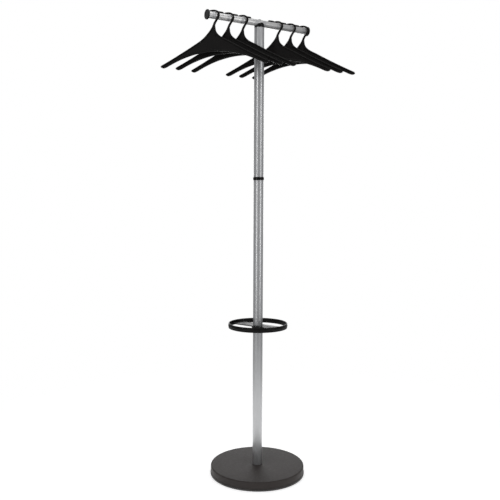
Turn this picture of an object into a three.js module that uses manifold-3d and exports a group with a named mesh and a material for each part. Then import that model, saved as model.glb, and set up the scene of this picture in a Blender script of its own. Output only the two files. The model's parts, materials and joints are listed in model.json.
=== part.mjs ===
// Coat stand with a weighted round base, a two-part tube column, an umbrella ring and a crossbar
// that carries six hangers. Millimetres, +Z up. The origin is on the floor under the column axis,
// and the crossbar runs along X.
import * as THREE from 'three';
import { mergeVertices } from 'three/addons/utils/BufferGeometryUtils.js';
import Module from 'manifold-3d';

const wasm = await Module();
wasm.setup();

// ---------------------------------------------------------------- driving dimensions

const FIT_GAP = 0.3; // left between any two pieces that touch or plug together

// base
const BASE_RADIUS = 185;
const BASE_HEIGHT = 37;
const BASE_EDGE_RADIUS = 4.5; // rounded top edge of the cover
const COVER_WALL = 2;
const TRAY_LIP = 1.6; // how far the tray stands out past the cover
const TRAY_TOP = 9.5;
const TRAY_WALL = 2;
const PAD_RADIUS = 13;
const PAD_HEIGHT = 2.5;
const PAD_CIRCLE = 145;
const PAD_COUNT = 5;
const BOLT_RADIUS = 5;
const BOLT_HEAD_RADIUS = 9.5;
const BOLT_HEAD_HEIGHT = 5;
const WASHER_RADIUS = 15;
const WASHER_THICKNESS = 2.5;
const BALLAST_RADIUS = 150;
const BALLAST_THICKNESS = 12;
const BALLAST_BOSS_RADIUS = 32; // the middle that holds the cover up under the column

// column
const TUBE_RADIUS = 19;
const TUBE_WALL = 1.5;
const COLUMN_TOP = 1745; // upper end of the upper tube
const JOINT_HEIGHT = 1171; // middle of the joint ring
const JOINT_RING_WALL = 2;
const JOINT_RING_LENGTH = 11.5;
const JOINT_LEDGE = 1.5; // ring's inner ledge, held between the tube ends
const INSERT_LENGTH = 40;
const STUD_RADIUS = 6;
const STUD_LENGTH = 70;
const JOINT_RING_EDGE = 0.8;
const BOLT_GRIP = 36; // how far the base bolt reaches into its insert

// crossbar
const BAR_RADIUS = 12.5;
const BAR_WALL = 1.5;
const BAR_END_ROOM = 0.5; // between the outermost hook and the end cap, along the bar
const CAP_RADIUS = 18.2;
const CAP_THICKNESS = 5.5;
const CAP_EDGE_RADIUS = 2.2;
const CAP_DISH = 1.2; // depth of the hollow in the cap's face
const CAP_PLUG_LENGTH = 15;
const CAP_PLUG_WALL = 2;
const SADDLE_SEAT = 5; // straight rim of the saddle between tube and bar
const SADDLE_LOBE_DROP = 1.5; // lobe tops, under the bar axis
const SADDLE_PLUG_LENGTH = 10;
const TOP_SCREW_RADIUS = 4;
const TOP_SCREW_HEAD_RADIUS = 7;
const TOP_SCREW_HEAD_HEIGHT = 3.6;
const TOP_SCREW_GRIP = 30; // how far the screw reaches into its insert

// spacers on top of the bar
const SPACER_LENGTH = 24;
const SPACER_HEIGHT = 5.4;
const SPACER_HALF_ANGLE = 26 * Math.PI / 180;
const SPACER_END_RADIUS = 5;
const SPACER_PEG_RADIUS = 2.3;
const SPACER_PEG_LENGTH = 4.5;
const INNER_SPACER_OFFSET = 26.75; // from a group's inner hook to the spacer beside it

// hangers
const HANGER_PITCH = 61.5; // along the bar
const HANGER_FIRST = 79; // from the column axis to the nearest hook
const HANGER_YAW = -47 * Math.PI / 180; // hanger's direction from the bar, seen from above
const THIRD_HANGER_TURN = -3.5 * Math.PI / 180; // the third one hangs a little further round
const HANGER_OFFSET = 3.5; // body's middle from the hook's middle
const HANGER_HALF_SPAN = 209;
const HANGER_NECK_DEPTH = 36; // under the bar axis
const HANGER_NECK_HALF_WIDTH = 4.8;
const NECK_SHIFT = 1; // neck's middle from the body's middle
const SHOULDER_RUN = 52; // from the middle to where the straight shoulder starts
const SHOULDER_DEPTH = 90.6;
const TIP_DEPTH = 172.5; // top of the shoulder near the tip, under the bar axis
const TIP_RADIUS = 7;
const TIP_SINK = 4.9; // centre of the tip's round end, under its top
const SHOULDER_CROWN = -3.6; // under zero: the shoulder sags a little
// How the neck runs out into each shoulder: the pull on the curve at the neck (outwards, down)
// and at the shoulder (back, up). The side under the hook's open end leaves the neck sooner.
const OPEN_SIDE_FLARE = { out: 4.6, down: 14, back: 25, up: 17 };
const STEM_SIDE_FLARE = { out: 0, down: 24, back: 40, up: 19 };
const ARCH_DEPTH = 130.4; // middle of the lower edge
const ARCH_DROP = 57; // lower edge at the tips, under its middle
const ARCH_END = 12; // from the tip's centre to where the arch ends
const WEB_THICKNESS = 5;
const RIM_THICKNESS = 11;
const RIM_WIDTH = 5;
const HOOK_WIDTH = 7.2; // in the hanger's plane
const HOOK_TOP_ROOM = 0.2; // more than the fit gap, over the bar
const HOOK_POWER = 2.2; // a little squarer than an ellipse
const HOOK_START_ANGLE = 190 * Math.PI / 180;
const HOOK_END_ANGLE = -24 * Math.PI / 180;
const HOOK_SWEEP = 12; // how far the hook carries on before it bends to the neck
const NECK_RISE = 20; // straight stretch above the neck
const NECK_LEAN = 1.5;
const NECK_LAP = 8; // how far the hook runs down into the body

// umbrella holder
const RING_RADIUS = 117;
const RING_WALL = 5;
const RING_BOTTOM = 586.5;
const RING_HEIGHT = 19;
const RING_CROWN = 0.9; // how far the band's middle swells
const RING_EDGE = 1.2;
const PLATE_HALF_WIDTH = 28;
const PLATE_RISE = 6.2; // under side of the plate above the band's lower edge
const PLATE_THICKNESS = 3.5;
const PLATE_YAW = -70 * Math.PI / 180;
const HUB_WALL = 5;
const HUB_HEIGHT = 22;
const CLAMP_SCREW_RADIUS = 2;
const CLAMP_HEAD_RADIUS = 3.6;
const CLAMP_HEAD_HEIGHT = 2.6;
const CLAMP_HEAD_BEVEL = 1;
const CLAMP_SCREW_RISE = 7.7; // above the hub's lower end

// smoothness
const DISC_SEGMENTS = 60; // base and umbrella ring
const ROUND_SEGMENTS = 36; // tubes and the bar
const SMALL_SEGMENTS = 12; // screws, pegs and inserts

// ---------------------------------------------------------------- sizes that several pieces share

const HOOKS_PER_SIDE = 3;
const barAxisHeight = COLUMN_TOP + SADDLE_SEAT + BAR_RADIUS;
const barTop = barAxisHeight + BAR_RADIUS;

// A hanger crosses the bar at a slant, so its hook is wider than the bar is thick.
const slant = Math.abs(HANGER_YAW);
const hookInnerHalfWidth = (BAR_RADIUS + FIT_GAP) / Math.sin(slant)
  + WEB_THICKNESS / 2 / Math.tan(slant) + FIT_GAP;
const hookInnerHeight = BAR_RADIUS + FIT_GAP + HOOK_TOP_ROOM;
const hookHalfLengthOnBar = (hookInnerHalfWidth + HOOK_WIDTH) * Math.cos(slant)
  + WEB_THICKNESS / 2 * Math.sin(slant);
const lastHook = HANGER_FIRST + (HOOKS_PER_SIDE - 1) * HANGER_PITCH;
const barHalfLength = lastHook + hookHalfLengthOnBar + BAR_END_ROOM;

// ---------------------------------------------------------------- helpers

const turned = (profile, segments = ROUND_SEGMENTS) =>
  new THREE.LatheGeometry(profile.map(([r, z]) => new THREE.Vector2(r, z)), segments)
    .rotateX(Math.PI / 2);

// A ring of rectangular section round Z.
const tube = (inner, outer, bottom, top, segments = ROUND_SEGMENTS) =>
  turned([[inner, bottom], [outer, bottom], [outer, top], [inner, top], [inner, bottom]], segments);

const rod = (radius, bottom, top, segments = SMALL_SEGMENTS) =>
  turned([[0, bottom], [radius, bottom], [radius, top], [0, top]], segments);

// Points of a quarter turn about (r, z), from one angle to another.
const arc = (r, z, radius, from, to, steps) => {
  const points = [];
  for (let i = 0; i <= steps; i += 1) {
    const angle = from + (to - from) * i / steps;
    points.push([r + radius * Math.cos(angle), z + radius * Math.sin(angle)]);
  }
  return points;
};

const toSolid = (geometry) => {
  const bare = geometry.clone();
  bare.deleteAttribute('normal');
  bare.deleteAttribute('uv');
  const merged = mergeVertices(bare, 1e-4);
  return new wasm.Manifold(new wasm.Mesh({
    numProp: 3,
    vertProperties: new Float32Array(merged.attributes.position.array),
    triVerts: new Uint32Array(merged.index.array),
  }));
};

const toGeometry = (solid) => {
  const mesh = solid.getMesh();
  const geometry = new THREE.BufferGeometry();
  geometry.setAttribute('position', new THREE.BufferAttribute(mesh.vertProperties, 3));
  geometry.setIndex(new THREE.BufferAttribute(mesh.triVerts, 1));
  geometry.computeVertexNormals();
  return geometry;
};

const cut = (geometry, ...tools) =>
  toGeometry(tools.reduce((solid, tool) => solid.subtract(toSolid(tool)), toSolid(geometry)));

const join = (geometry, ...others) =>
  toGeometry(others.reduce((solid, other) => solid.add(toSolid(other)), toSolid(geometry)));

const common = (geometry, other) => toGeometry(toSolid(geometry).intersect(toSolid(other)));

const finish = (color, roughness, metalness) =>
  new THREE.MeshStandardMaterial({ color, roughness, metalness });

const FINISHES = {
  charcoal: finish(0x5a5754, 0.55, 0.2),
  silver: finish(0xb9bbbd, 0.32, 0.85),
  black: finish(0x1c1b1a, 0.42, 0),
  rubber: finish(0x141414, 0.9, 0),
  zinc: finish(0xa7a9a8, 0.35, 0.9),
  iron: finish(0x3a3a3b, 0.7, 0.6),
};

const stand = new THREE.Group();

const place = (name, geometry, material, parent = stand) => {
  const mesh = new THREE.Mesh(geometry, material);
  mesh.name = name;
  parent.add(mesh);
  return mesh;
};

// ---------------------------------------------------------------- base

// Heights inside the base, from the floor up.
const trayFloorTop = PAD_HEIGHT + TRAY_WALL;
const coverUnderside = BASE_HEIGHT - COVER_WALL;
const ballastBottom = trayFloorTop + FIT_GAP;
const ballastTop = coverUnderside - FIT_GAP;
const boltWell = BOLT_HEAD_HEIGHT + WASHER_THICKNESS + 3 * FIT_GAP;
const washerTop = ballastBottom + boltWell - FIT_GAP;
const washerBottom = washerTop - WASHER_THICKNESS;
const boltHeadTop = washerBottom - FIT_GAP;
const columnFoot = BASE_HEIGHT + FIT_GAP;
const boltClearance = BOLT_RADIUS + FIT_GAP;

function baseCover() {
  const skirtBottom = TRAY_TOP + FIT_GAP;
  const corner = BASE_RADIUS - BASE_EDGE_RADIUS;
  const inside = BASE_RADIUS - COVER_WALL;
  const outer = arc(corner, BASE_HEIGHT - BASE_EDGE_RADIUS, BASE_EDGE_RADIUS, 0, Math.PI / 2, 3);
  const innerCorner = Math.max(BASE_EDGE_RADIUS - COVER_WALL / 2, 0.5);
  const profile = [
    [boltClearance, coverUnderside],
    [inside - innerCorner, coverUnderside],
    [inside, coverUnderside - innerCorner],
    [inside, skirtBottom],
    [BASE_RADIUS, skirtBottom],
    ...outer,
    [boltClearance, BASE_HEIGHT],
    [boltClearance, coverUnderside],
  ];
  return turned(profile, DISC_SEGMENTS);
}

function baseTray() {
  const outside = BASE_RADIUS + TRAY_LIP;
  const inside = outside - TRAY_WALL - TRAY_LIP;
  const profile = [
    [WASHER_RADIUS + 2, PAD_HEIGHT],
    [outside - 1, PAD_HEIGHT],
    [outside, PAD_HEIGHT + 1],
    [outside, TRAY_TOP - 1],
    [outside - 1, TRAY_TOP],
    [inside, TRAY_TOP],
    [inside, trayFloorTop],
    [WASHER_RADIUS + 2, trayFloorTop],
    [WASHER_RADIUS + 2, PAD_HEIGHT],
  ];
  return turned(profile, DISC_SEGMENTS);
}

function baseBallast() {
  const well = WASHER_RADIUS + 1;
  const wellTop = ballastBottom + boltWell;
  const discTop = ballastBottom + BALLAST_THICKNESS;
  const chamfer = 1.5;
  return turned([
    [boltClearance, wellTop],
    [well, wellTop],
    [well, ballastBottom],
    [BALLAST_RADIUS, ballastBottom],
    [BALLAST_RADIUS, discTop - chamfer],
    [BALLAST_RADIUS - chamfer, discTop],
    [BALLAST_BOSS_RADIUS, discTop],
    [BALLAST_BOSS_RADIUS, ballastTop],
    [boltClearance, ballastTop],
    [boltClearance, wellTop],
  ], ROUND_SEGMENTS);
}

place('base_cover', baseCover(), FINISHES.charcoal);
place('base_tray', baseTray(), FINISHES.charcoal);
place('base_ballast', baseBallast(), FINISHES.iron);
place(
  'base_washer',
  tube(boltClearance, WASHER_RADIUS, washerBottom, washerTop, 24),
  FINISHES.zinc,
);

const boltTip = columnFoot + BOLT_GRIP;
const baseBoltProfile = [
  [0, boltHeadTop - BOLT_HEAD_HEIGHT],
  [BOLT_HEAD_RADIUS, boltHeadTop - BOLT_HEAD_HEIGHT],
  [BOLT_HEAD_RADIUS, boltHeadTop],
  [BOLT_RADIUS, boltHeadTop],
  [BOLT_RADIUS, boltTip - 1],
  [BOLT_RADIUS - 1, boltTip],
  [0, boltTip],
];
place('base_bolt', turned(baseBoltProfile, SMALL_SEGMENTS), FINISHES.zinc);

for (let i = 0; i < PAD_COUNT; i += 1) {
  const angle = 2 * Math.PI * i / PAD_COUNT;
  const pad = place(
    `foot_pad_${i + 1}`,
    turned([[0, 0], [PAD_RADIUS - 0.6, 0], [PAD_RADIUS, 0.6], [PAD_RADIUS, PAD_HEIGHT - FIT_GAP],
      [0, PAD_HEIGHT - FIT_GAP]], 24),
    FINISHES.rubber,
  );
  pad.position.set(PAD_CIRCLE * Math.cos(angle), PAD_CIRCLE * Math.sin(angle), 0);
}

// ---------------------------------------------------------------- column

const tubeBore = TUBE_RADIUS - TUBE_WALL;
const insertRadius = tubeBore - FIT_GAP;
const lowerTubeTop = JOINT_HEIGHT - JOINT_LEDGE / 2 - FIT_GAP;
const upperTubeBottom = JOINT_HEIGHT + JOINT_LEDGE / 2 + FIT_GAP;

place('lower_tube', tube(tubeBore, TUBE_RADIUS, columnFoot, lowerTubeTop), FINISHES.silver);
place('upper_tube', tube(tubeBore, TUBE_RADIUS, upperTubeBottom, COLUMN_TOP), FINISHES.silver);

const threadedInsert = (hole, bottom) =>
  tube(hole + FIT_GAP, insertRadius, bottom, bottom + INSERT_LENGTH, 24);

place('foot_insert', threadedInsert(BOLT_RADIUS, columnFoot), FINISHES.zinc);
place(
  'lower_joint_insert',
  threadedInsert(STUD_RADIUS, lowerTubeTop - INSERT_LENGTH),
  FINISHES.zinc,
);
place('upper_joint_insert', threadedInsert(STUD_RADIUS, upperTubeBottom), FINISHES.zinc);
place(
  'joint_stud',
  rod(STUD_RADIUS, JOINT_HEIGHT - STUD_LENGTH / 2, JOINT_HEIGHT + STUD_LENGTH / 2),
  FINISHES.zinc,
);

function jointRing() {
  const sleeve = TUBE_RADIUS + FIT_GAP;
  const outside = sleeve + JOINT_RING_WALL;
  const bottom = JOINT_HEIGHT - JOINT_RING_LENGTH / 2;
  const top = JOINT_HEIGHT + JOINT_RING_LENGTH / 2;
  const ledgeBottom = JOINT_HEIGHT - JOINT_LEDGE / 2;
  const ledgeTop = JOINT_HEIGHT + JOINT_LEDGE / 2;
  return turned([
    [sleeve, bottom],
    [outside - JOINT_RING_EDGE, bottom],
    [outside, bottom + JOINT_RING_EDGE],
    [outside, top - JOINT_RING_EDGE],
    [outside - JOINT_RING_EDGE, top],
    [sleeve, top],
    [sleeve, ledgeTop],
    [tubeBore, ledgeTop],
    [tubeBore, ledgeBottom],
    [sleeve, ledgeBottom],
    [sleeve, bottom],
  ]);
}
place('joint_ring', jointRing(), FINISHES.black);

// ---------------------------------------------------------------- saddle, bar and end caps

const saddleBottom = COLUMN_TOP + FIT_GAP;
const saddlePlugBottom = COLUMN_TOP - SADDLE_PLUG_LENGTH;
const topScrewClearance = TOP_SCREW_RADIUS + FIT_GAP;
const topInsertBottom = saddlePlugBottom - FIT_GAP - INSERT_LENGTH;

const alongX = (geometry) => geometry.rotateY(Math.PI / 2);

function barSaddle() {
  const lobeTop = barAxisHeight - SADDLE_LOBE_DROP;
  const blank = turned([
    [0, saddlePlugBottom],
    [insertRadius, saddlePlugBottom],
    [insertRadius, saddleBottom],
    [TUBE_RADIUS, saddleBottom],
    [TUBE_RADIUS, lobeTop],
    [0, lobeTop],
  ]);
  const bed = alongX(rod(BAR_RADIUS + FIT_GAP, -2 * TUBE_RADIUS, 2 * TUBE_RADIUS, ROUND_SEGMENTS))
    .translate(0, 0, barAxisHeight);
  const screwWay = rod(topScrewClearance, saddlePlugBottom - 1, lobeTop + 1);
  // The lobes are rounded over by a cylinder that lies across the bar.
  const arch = rod(TUBE_RADIUS, -2 * TUBE_RADIUS, 2 * TUBE_RADIUS, ROUND_SEGMENTS)
    .rotateX(Math.PI / 2)
    .translate(0, 0, lobeTop - TUBE_RADIUS);
  const skirt = rod(2 * TUBE_RADIUS, saddlePlugBottom - 1, saddleBottom + SADDLE_SEAT, ROUND_SEGMENTS);
  return cut(common(blank, join(arch, skirt)), bed, screwWay);
}
place('bar_saddle', barSaddle(), FINISHES.black);
place('top_insert', threadedInsert(TOP_SCREW_RADIUS, topInsertBottom), FINISHES.zinc);

const topScrewBottom = topInsertBottom + INSERT_LENGTH - TOP_SCREW_GRIP;
const topHeadBottom = barTop + FIT_GAP;
place('top_screw', turned([
  [0, topScrewBottom],
  [TOP_SCREW_RADIUS, topScrewBottom],
  [TOP_SCREW_RADIUS, topHeadBottom],
  [TOP_SCREW_HEAD_RADIUS, topHeadBottom],
  [TOP_SCREW_HEAD_RADIUS - 0.6, topHeadBottom + TOP_SCREW_HEAD_HEIGHT * 0.6],
  [TOP_SCREW_HEAD_RADIUS - 3, topHeadBottom + TOP_SCREW_HEAD_HEIGHT],
  [0, topHeadBottom + TOP_SCREW_HEAD_HEIGHT],
], SMALL_SEGMENTS), FINISHES.zinc);

// Hooks stand at these places along the bar, three on each side of the column.
const hookPlaces = [];
for (const side of [-1, 1]) {
  for (let i = 0; i < HOOKS_PER_SIDE; i += 1) {
    hookPlaces.push(side * (HANGER_FIRST + i * HANGER_PITCH));
  }
}
hookPlaces.sort((a, b) => a - b);

// A spacer stands between neighbouring hooks, and one on the column's side of each group.
const spacerPlaces = [];
for (const side of [-1, 1]) {
  for (let i = 0; i < HOOKS_PER_SIDE; i += 1) {
    const middle = HANGER_FIRST + (i === 0 ? -INNER_SPACER_OFFSET : (i - 0.5) * HANGER_PITCH);
    spacerPlaces.push(side * middle);
  }
}
spacerPlaces.sort((a, b) => a - b);

function crossBar() {
  const blank = alongX(tube(BAR_RADIUS - BAR_WALL, BAR_RADIUS, -barHalfLength, barHalfLength))
    .translate(0, 0, barAxisHeight);
  const screwWay = rod(topScrewClearance, barTop - 2 * BAR_RADIUS - 1, barTop + 1);
  const pegWays = spacerPlaces.map((x) =>
    rod(SPACER_PEG_RADIUS + FIT_GAP, barAxisHeight + 2, barTop + 1).translate(x, 0, 0));
  return cut(blank, screwWay, ...pegWays);
}
place('cross_bar', crossBar(), FINISHES.silver);

function endCap() {
  const plugRadius = BAR_RADIUS - BAR_WALL - FIT_GAP;
  const plugBore = plugRadius - CAP_PLUG_WALL;
  const back = FIT_GAP;
  const front = back + CAP_THICKNESS;
  const rim = CAP_RADIUS - CAP_EDGE_RADIUS;
  return turned([
    [0, back + 1],
    [plugBore, back + 1],
    [plugBore, -CAP_PLUG_LENGTH],
    [plugRadius, -CAP_PLUG_LENGTH],
    [plugRadius, back],
    [CAP_RADIUS - 0.6, back],
    [CAP_RADIUS, back + 0.6],
    ...arc(rim, front - CAP_EDGE_RADIUS, CAP_EDGE_RADIUS, 0, Math.PI / 2, 3),
    [rim - 2.5, front],
    [rim - 4.5, front - CAP_DISH],
    [0, front - CAP_DISH],
  ], 24);
}
for (const [name, side] of [['end_cap_left', -1], ['end_cap_right', 1]]) {
  const cap = place(name, endCap(), FINISHES.black);
  cap.rotation.y = side * Math.PI / 2;
  cap.position.set(side * barHalfLength, 0, barAxisHeight);
}

// ---------------------------------------------------------------- spacers

function spacer() {
  const inner = BAR_RADIUS + FIT_GAP;
  const outer = BAR_RADIUS + SPACER_HEIGHT;
  const section = new THREE.Shape();
  section.absarc(0, 0, outer, Math.PI / 2 - SPACER_HALF_ANGLE, Math.PI / 2 + SPACER_HALF_ANGLE);
  section.absarc(0, 0, inner, Math.PI / 2 + SPACER_HALF_ANGLE, Math.PI / 2 - SPACER_HALF_ANGLE, true);
  section.closePath();
  // Drawn with its height along Y and extruded along Z, then stood up and laid along X.
  const block = new THREE.ExtrudeGeometry(section, {
    depth: SPACER_LENGTH, bevelEnabled: false, curveSegments: 5,
  }).translate(0, 0, -SPACER_LENGTH / 2).rotateX(Math.PI / 2).rotateZ(Math.PI / 2);
  const side = new THREE.Shape();
  const half = SPACER_LENGTH / 2;
  const low = inner * Math.cos(SPACER_HALF_ANGLE) - 1;
  side.moveTo(-half, low);
  side.lineTo(half, low);
  side.absarc(half - SPACER_END_RADIUS, outer - SPACER_END_RADIUS, SPACER_END_RADIUS, 0, Math.PI / 2);
  side.absarc(-half + SPACER_END_RADIUS, outer - SPACER_END_RADIUS, SPACER_END_RADIUS,
    Math.PI / 2, Math.PI);
  side.closePath();
  const envelope = new THREE.ExtrudeGeometry(side, {
    depth: 4 * BAR_RADIUS, bevelEnabled: false, curveSegments: 3,
  }).translate(0, 0, -2 * BAR_RADIUS).rotateX(Math.PI / 2);
  const peg = rod(SPACER_PEG_RADIUS, inner - SPACER_PEG_LENGTH, inner + 1);
  return join(common(block, envelope), peg).translate(0, 0, barAxisHeight);
}
const spacerGeometry = spacer();
spacerPlaces.forEach((x, i) => {
  place(`bar_spacer_${i + 1}`, spacerGeometry.clone().translate(x, 0, 0), FINISHES.black);
});

// ---------------------------------------------------------------- hangers

// The hook's middle line: a squared ellipse round the bar, then an S-bend down to the neck.
function hookLine() {
  const a = hookInnerHalfWidth + HOOK_WIDTH / 2;
  const b = hookInnerHeight + HOOK_WIDTH / 2;
  const squared = (angle) => {
    const c = Math.cos(angle);
    const s = Math.sin(angle);
    const k = (Math.abs(c / a) ** HOOK_POWER + Math.abs(s / b) ** HOOK_POWER) ** (-1 / HOOK_POWER);
    return new THREE.Vector2(k * c, k * s);
  };
  const steps = 15;
  const points = [];
  for (let i = 0; i <= steps; i += 1) {
    points.push(squared(HOOK_START_ANGLE + (HOOK_END_ANGLE - HOOK_START_ANGLE) * i / steps));
  }
  const last = points[points.length - 1];
  const before = points[points.length - 2];
  const heading = last.clone().sub(before).normalize();
  const neck = new THREE.Vector2(HANGER_OFFSET + NECK_SHIFT, -HANGER_NECK_DEPTH - NECK_LAP);
  const bend = new THREE.CubicBezierCurve(
    last,
    last.clone().addScaledVector(heading, HOOK_SWEEP),
    new THREE.Vector2(neck.x + NECK_LEAN, neck.y + NECK_RISE),
    neck,
  );
  return points.concat(bend.getPoints(6).slice(1));
}

// The outline of a strip of even width along a line, round at its first end.
function stripOutline(line, width) {
  const half = width / 2;
  const left = [];
  const right = [];
  line.forEach((point, i) => {
    const ahead = line[Math.min(i + 1, line.length - 1)];
    const behind = line[Math.max(i - 1, 0)];
    const along = ahead.clone().sub(behind).normalize();
    const across = new THREE.Vector2(-along.y, along.x).multiplyScalar(half);
    left.push(point.clone().add(across));
    right.push(point.clone().sub(across));
  });
  const start = line[0];
  const away = Math.atan2(left[0].y - start.y, left[0].x - start.x);
  const nose = [];
  for (let i = 1; i < 4; i += 1) {
    const angle = away + Math.PI * i / 4;
    nose.push(new THREE.Vector2(start.x + half * Math.cos(angle), start.y + half * Math.sin(angle)));
  }
  return [...left.reverse(), ...nose, ...right];
}

// Half of the body's outline, from the neck out along the shoulder, round the tip and back
// along the arched lower edge to the middle. The inset draws the rim's inner edge.
function halfBody(inset, neckShift, pull) {
  const neckHalf = Math.max(HANGER_NECK_HALF_WIDTH + neckShift - inset, 0.4);
  const slope = (TIP_DEPTH - SHOULDER_DEPTH) / (HANGER_HALF_SPAN - TIP_RADIUS - SHOULDER_RUN);
  const lift = inset * Math.hypot(1, slope);
  const shoulder = new THREE.Vector2(SHOULDER_RUN, -SHOULDER_DEPTH - lift);
  const neck = new THREE.Vector2(neckHalf, -HANGER_NECK_DEPTH - 3 * inset);
  const flare = new THREE.CubicBezierCurve(
    neck,
    new THREE.Vector2(neck.x + pull.out, neck.y - pull.down),
    new THREE.Vector2(shoulder.x - pull.back, shoulder.y + pull.up),
    shoulder,
  );
  const tipRadius = Math.max(TIP_RADIUS - inset, 0.8);
  const tipCentre = new THREE.Vector2(HANGER_HALF_SPAN - TIP_RADIUS, -TIP_DEPTH - TIP_SINK);
  const points = flare.getPoints(6);
  // The shoulder's slight sag, level with the tip's round end.
  const tipStart = Math.PI / 2 - Math.atan(slope);
  const tipTop = new THREE.Vector2(
    tipCentre.x + tipRadius * Math.cos(tipStart),
    tipCentre.y + tipRadius * Math.sin(tipStart),
  );
  const shoulderLine = new THREE.QuadraticBezierCurve(
    shoulder,
    new THREE.Vector2(
      (shoulder.x + tipTop.x) / 2,
      (shoulder.y + tipTop.y) / 2 + SHOULDER_CROWN,
    ),
    tipTop,
  );
  points.push(...shoulderLine.getPoints(3).slice(1));
  for (let i = 1; i <= 4; i += 1) {
    const angle = tipStart - (Math.PI - 0.15) * i / 4;
    points.push(new THREE.Vector2(
      tipCentre.x + tipRadius * Math.cos(angle),
      tipCentre.y + tipRadius * Math.sin(angle),
    ));
  }
  const archReach = tipCentre.x;
  const archEnd = archReach - ARCH_END;
  const steps = 6;
  for (let i = 1; i <= steps; i += 1) {
    const u = archEnd * (1 - i / steps);
    const drop = ARCH_DROP * (u / archReach) ** 2;
    points.push(new THREE.Vector2(u, -ARCH_DEPTH - drop + inset));
  }
  return points;
}

function wholeBody(inset) {
  const stemSide = halfBody(inset, NECK_SHIFT, STEM_SIDE_FLARE);
  const openSide = halfBody(inset, -NECK_SHIFT, OPEN_SIDE_FLARE);
  const mirrored = openSide.slice(0, -1).reverse().map((p) => new THREE.Vector2(-p.x, p.y));
  return stemSide.concat(mirrored).map((p) => new THREE.Vector2(p.x + HANGER_OFFSET, p.y));
}

// An upright plate of the outline, centred on its own thickness.
const plate = (points, thickness) =>
  new THREE.ExtrudeGeometry(new THREE.Shape(points), { depth: thickness, bevelEnabled: false })
    .translate(0, 0, -thickness / 2)
    .rotateX(Math.PI / 2);

function hanger() {
  const web = plate(wholeBody(0), WEB_THICKNESS);
  const hook = plate(stripOutline(hookLine(), HOOK_WIDTH), WEB_THICKNESS);
  const frame = cut(
    plate(wholeBody(0), RIM_THICKNESS),
    plate(wholeBody(RIM_WIDTH), RIM_THICKNESS + 2),
  );
  return join(web, hook, frame);
}
const hangerGeometry = hanger();
hookPlaces.forEach((x, i) => {
  const mesh = place(`hanger_${i + 1}`, hangerGeometry, FINISHES.black);
  mesh.position.set(x, 0, barAxisHeight);
  mesh.rotation.z = HANGER_YAW + (i === 2 ? THIRD_HANGER_TURN : 0);
});

// ---------------------------------------------------------------- umbrella holder

const plateBottom = RING_BOTTOM + PLATE_RISE;
const plateTop = plateBottom + PLATE_THICKNESS;
const hubRadius = TUBE_RADIUS + FIT_GAP + HUB_WALL;
const hubBottom = plateTop - HUB_HEIGHT;
const clampHeight = hubBottom + CLAMP_SCREW_RISE;

function umbrellaRing() {
  const inside = RING_RADIUS - RING_WALL;
  const top = RING_BOTTOM + RING_HEIGHT;
  const middle = RING_BOTTOM + RING_HEIGHT / 2;
  const shoulder = RING_RADIUS - RING_CROWN;
  const band = turned([
    [inside, RING_BOTTOM],
    [shoulder - RING_EDGE, RING_BOTTOM],
    [shoulder, RING_BOTTOM + RING_EDGE],
    [RING_RADIUS, middle],
    [shoulder, top - RING_EDGE],
    [shoulder - RING_EDGE, top],
    [inside, top],
    [inside, RING_BOTTOM],
  ], DISC_SEGMENTS);
  const reach = RING_RADIUS - RING_WALL / 2;
  const strip = new THREE.BoxGeometry(2 * reach, 2 * PLATE_HALF_WIDTH, PLATE_THICKNESS)
    .translate(0, 0, plateBottom + PLATE_THICKNESS / 2);
  const disc = rod(reach, plateBottom - 1, plateTop + 1, DISC_SEGMENTS);
  const boss = rod(hubRadius, hubBottom, plateTop, ROUND_SEGMENTS);
  const bore = rod(TUBE_RADIUS + FIT_GAP, hubBottom - 1, plateTop + 1, ROUND_SEGMENTS);
  const screwWay = rod(CLAMP_SCREW_RADIUS + FIT_GAP, 0, hubRadius + 5)
    .rotateX(-Math.PI / 2)
    .translate(0, 0, clampHeight);
  return cut(join(band, common(strip, disc), boss), bore, screwWay);
}
const holder = new THREE.Group();
holder.rotation.z = PLATE_YAW;
stand.add(holder);
place('umbrella_ring', umbrellaRing(), FINISHES.black, holder);

const clampTip = TUBE_RADIUS + FIT_GAP;
const clampHeadBack = hubRadius + FIT_GAP;
const clampHeadFront = clampHeadBack + CLAMP_HEAD_HEIGHT;
const clampScrewProfile = [
  [0, clampTip],
  [CLAMP_SCREW_RADIUS, clampTip],
  [CLAMP_SCREW_RADIUS, clampHeadBack],
  [CLAMP_HEAD_RADIUS, clampHeadBack],
  [CLAMP_HEAD_RADIUS, clampHeadFront - CLAMP_HEAD_BEVEL],
  [CLAMP_HEAD_RADIUS - CLAMP_HEAD_BEVEL, clampHeadFront],
  [0, clampHeadFront],
];
const clampScrew = turned(clampScrewProfile, SMALL_SEGMENTS)
  .rotateX(-Math.PI / 2)
  .translate(0, 0, clampHeight);
place('clamp_screw', clampScrew, FINISHES.zinc, holder);

export default stand;
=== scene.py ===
"""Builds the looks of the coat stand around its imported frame: smooth shells, finishes, floor, light and camera."""

import json
import logging
import math
from collections.abc import Callable, Iterable, Sequence
from dataclasses import dataclass
from enum import Enum

import bmesh
import bpy
from bmesh.types import BMEdge, BMesh, BMVert
from mathutils import Matrix, Vector


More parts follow.
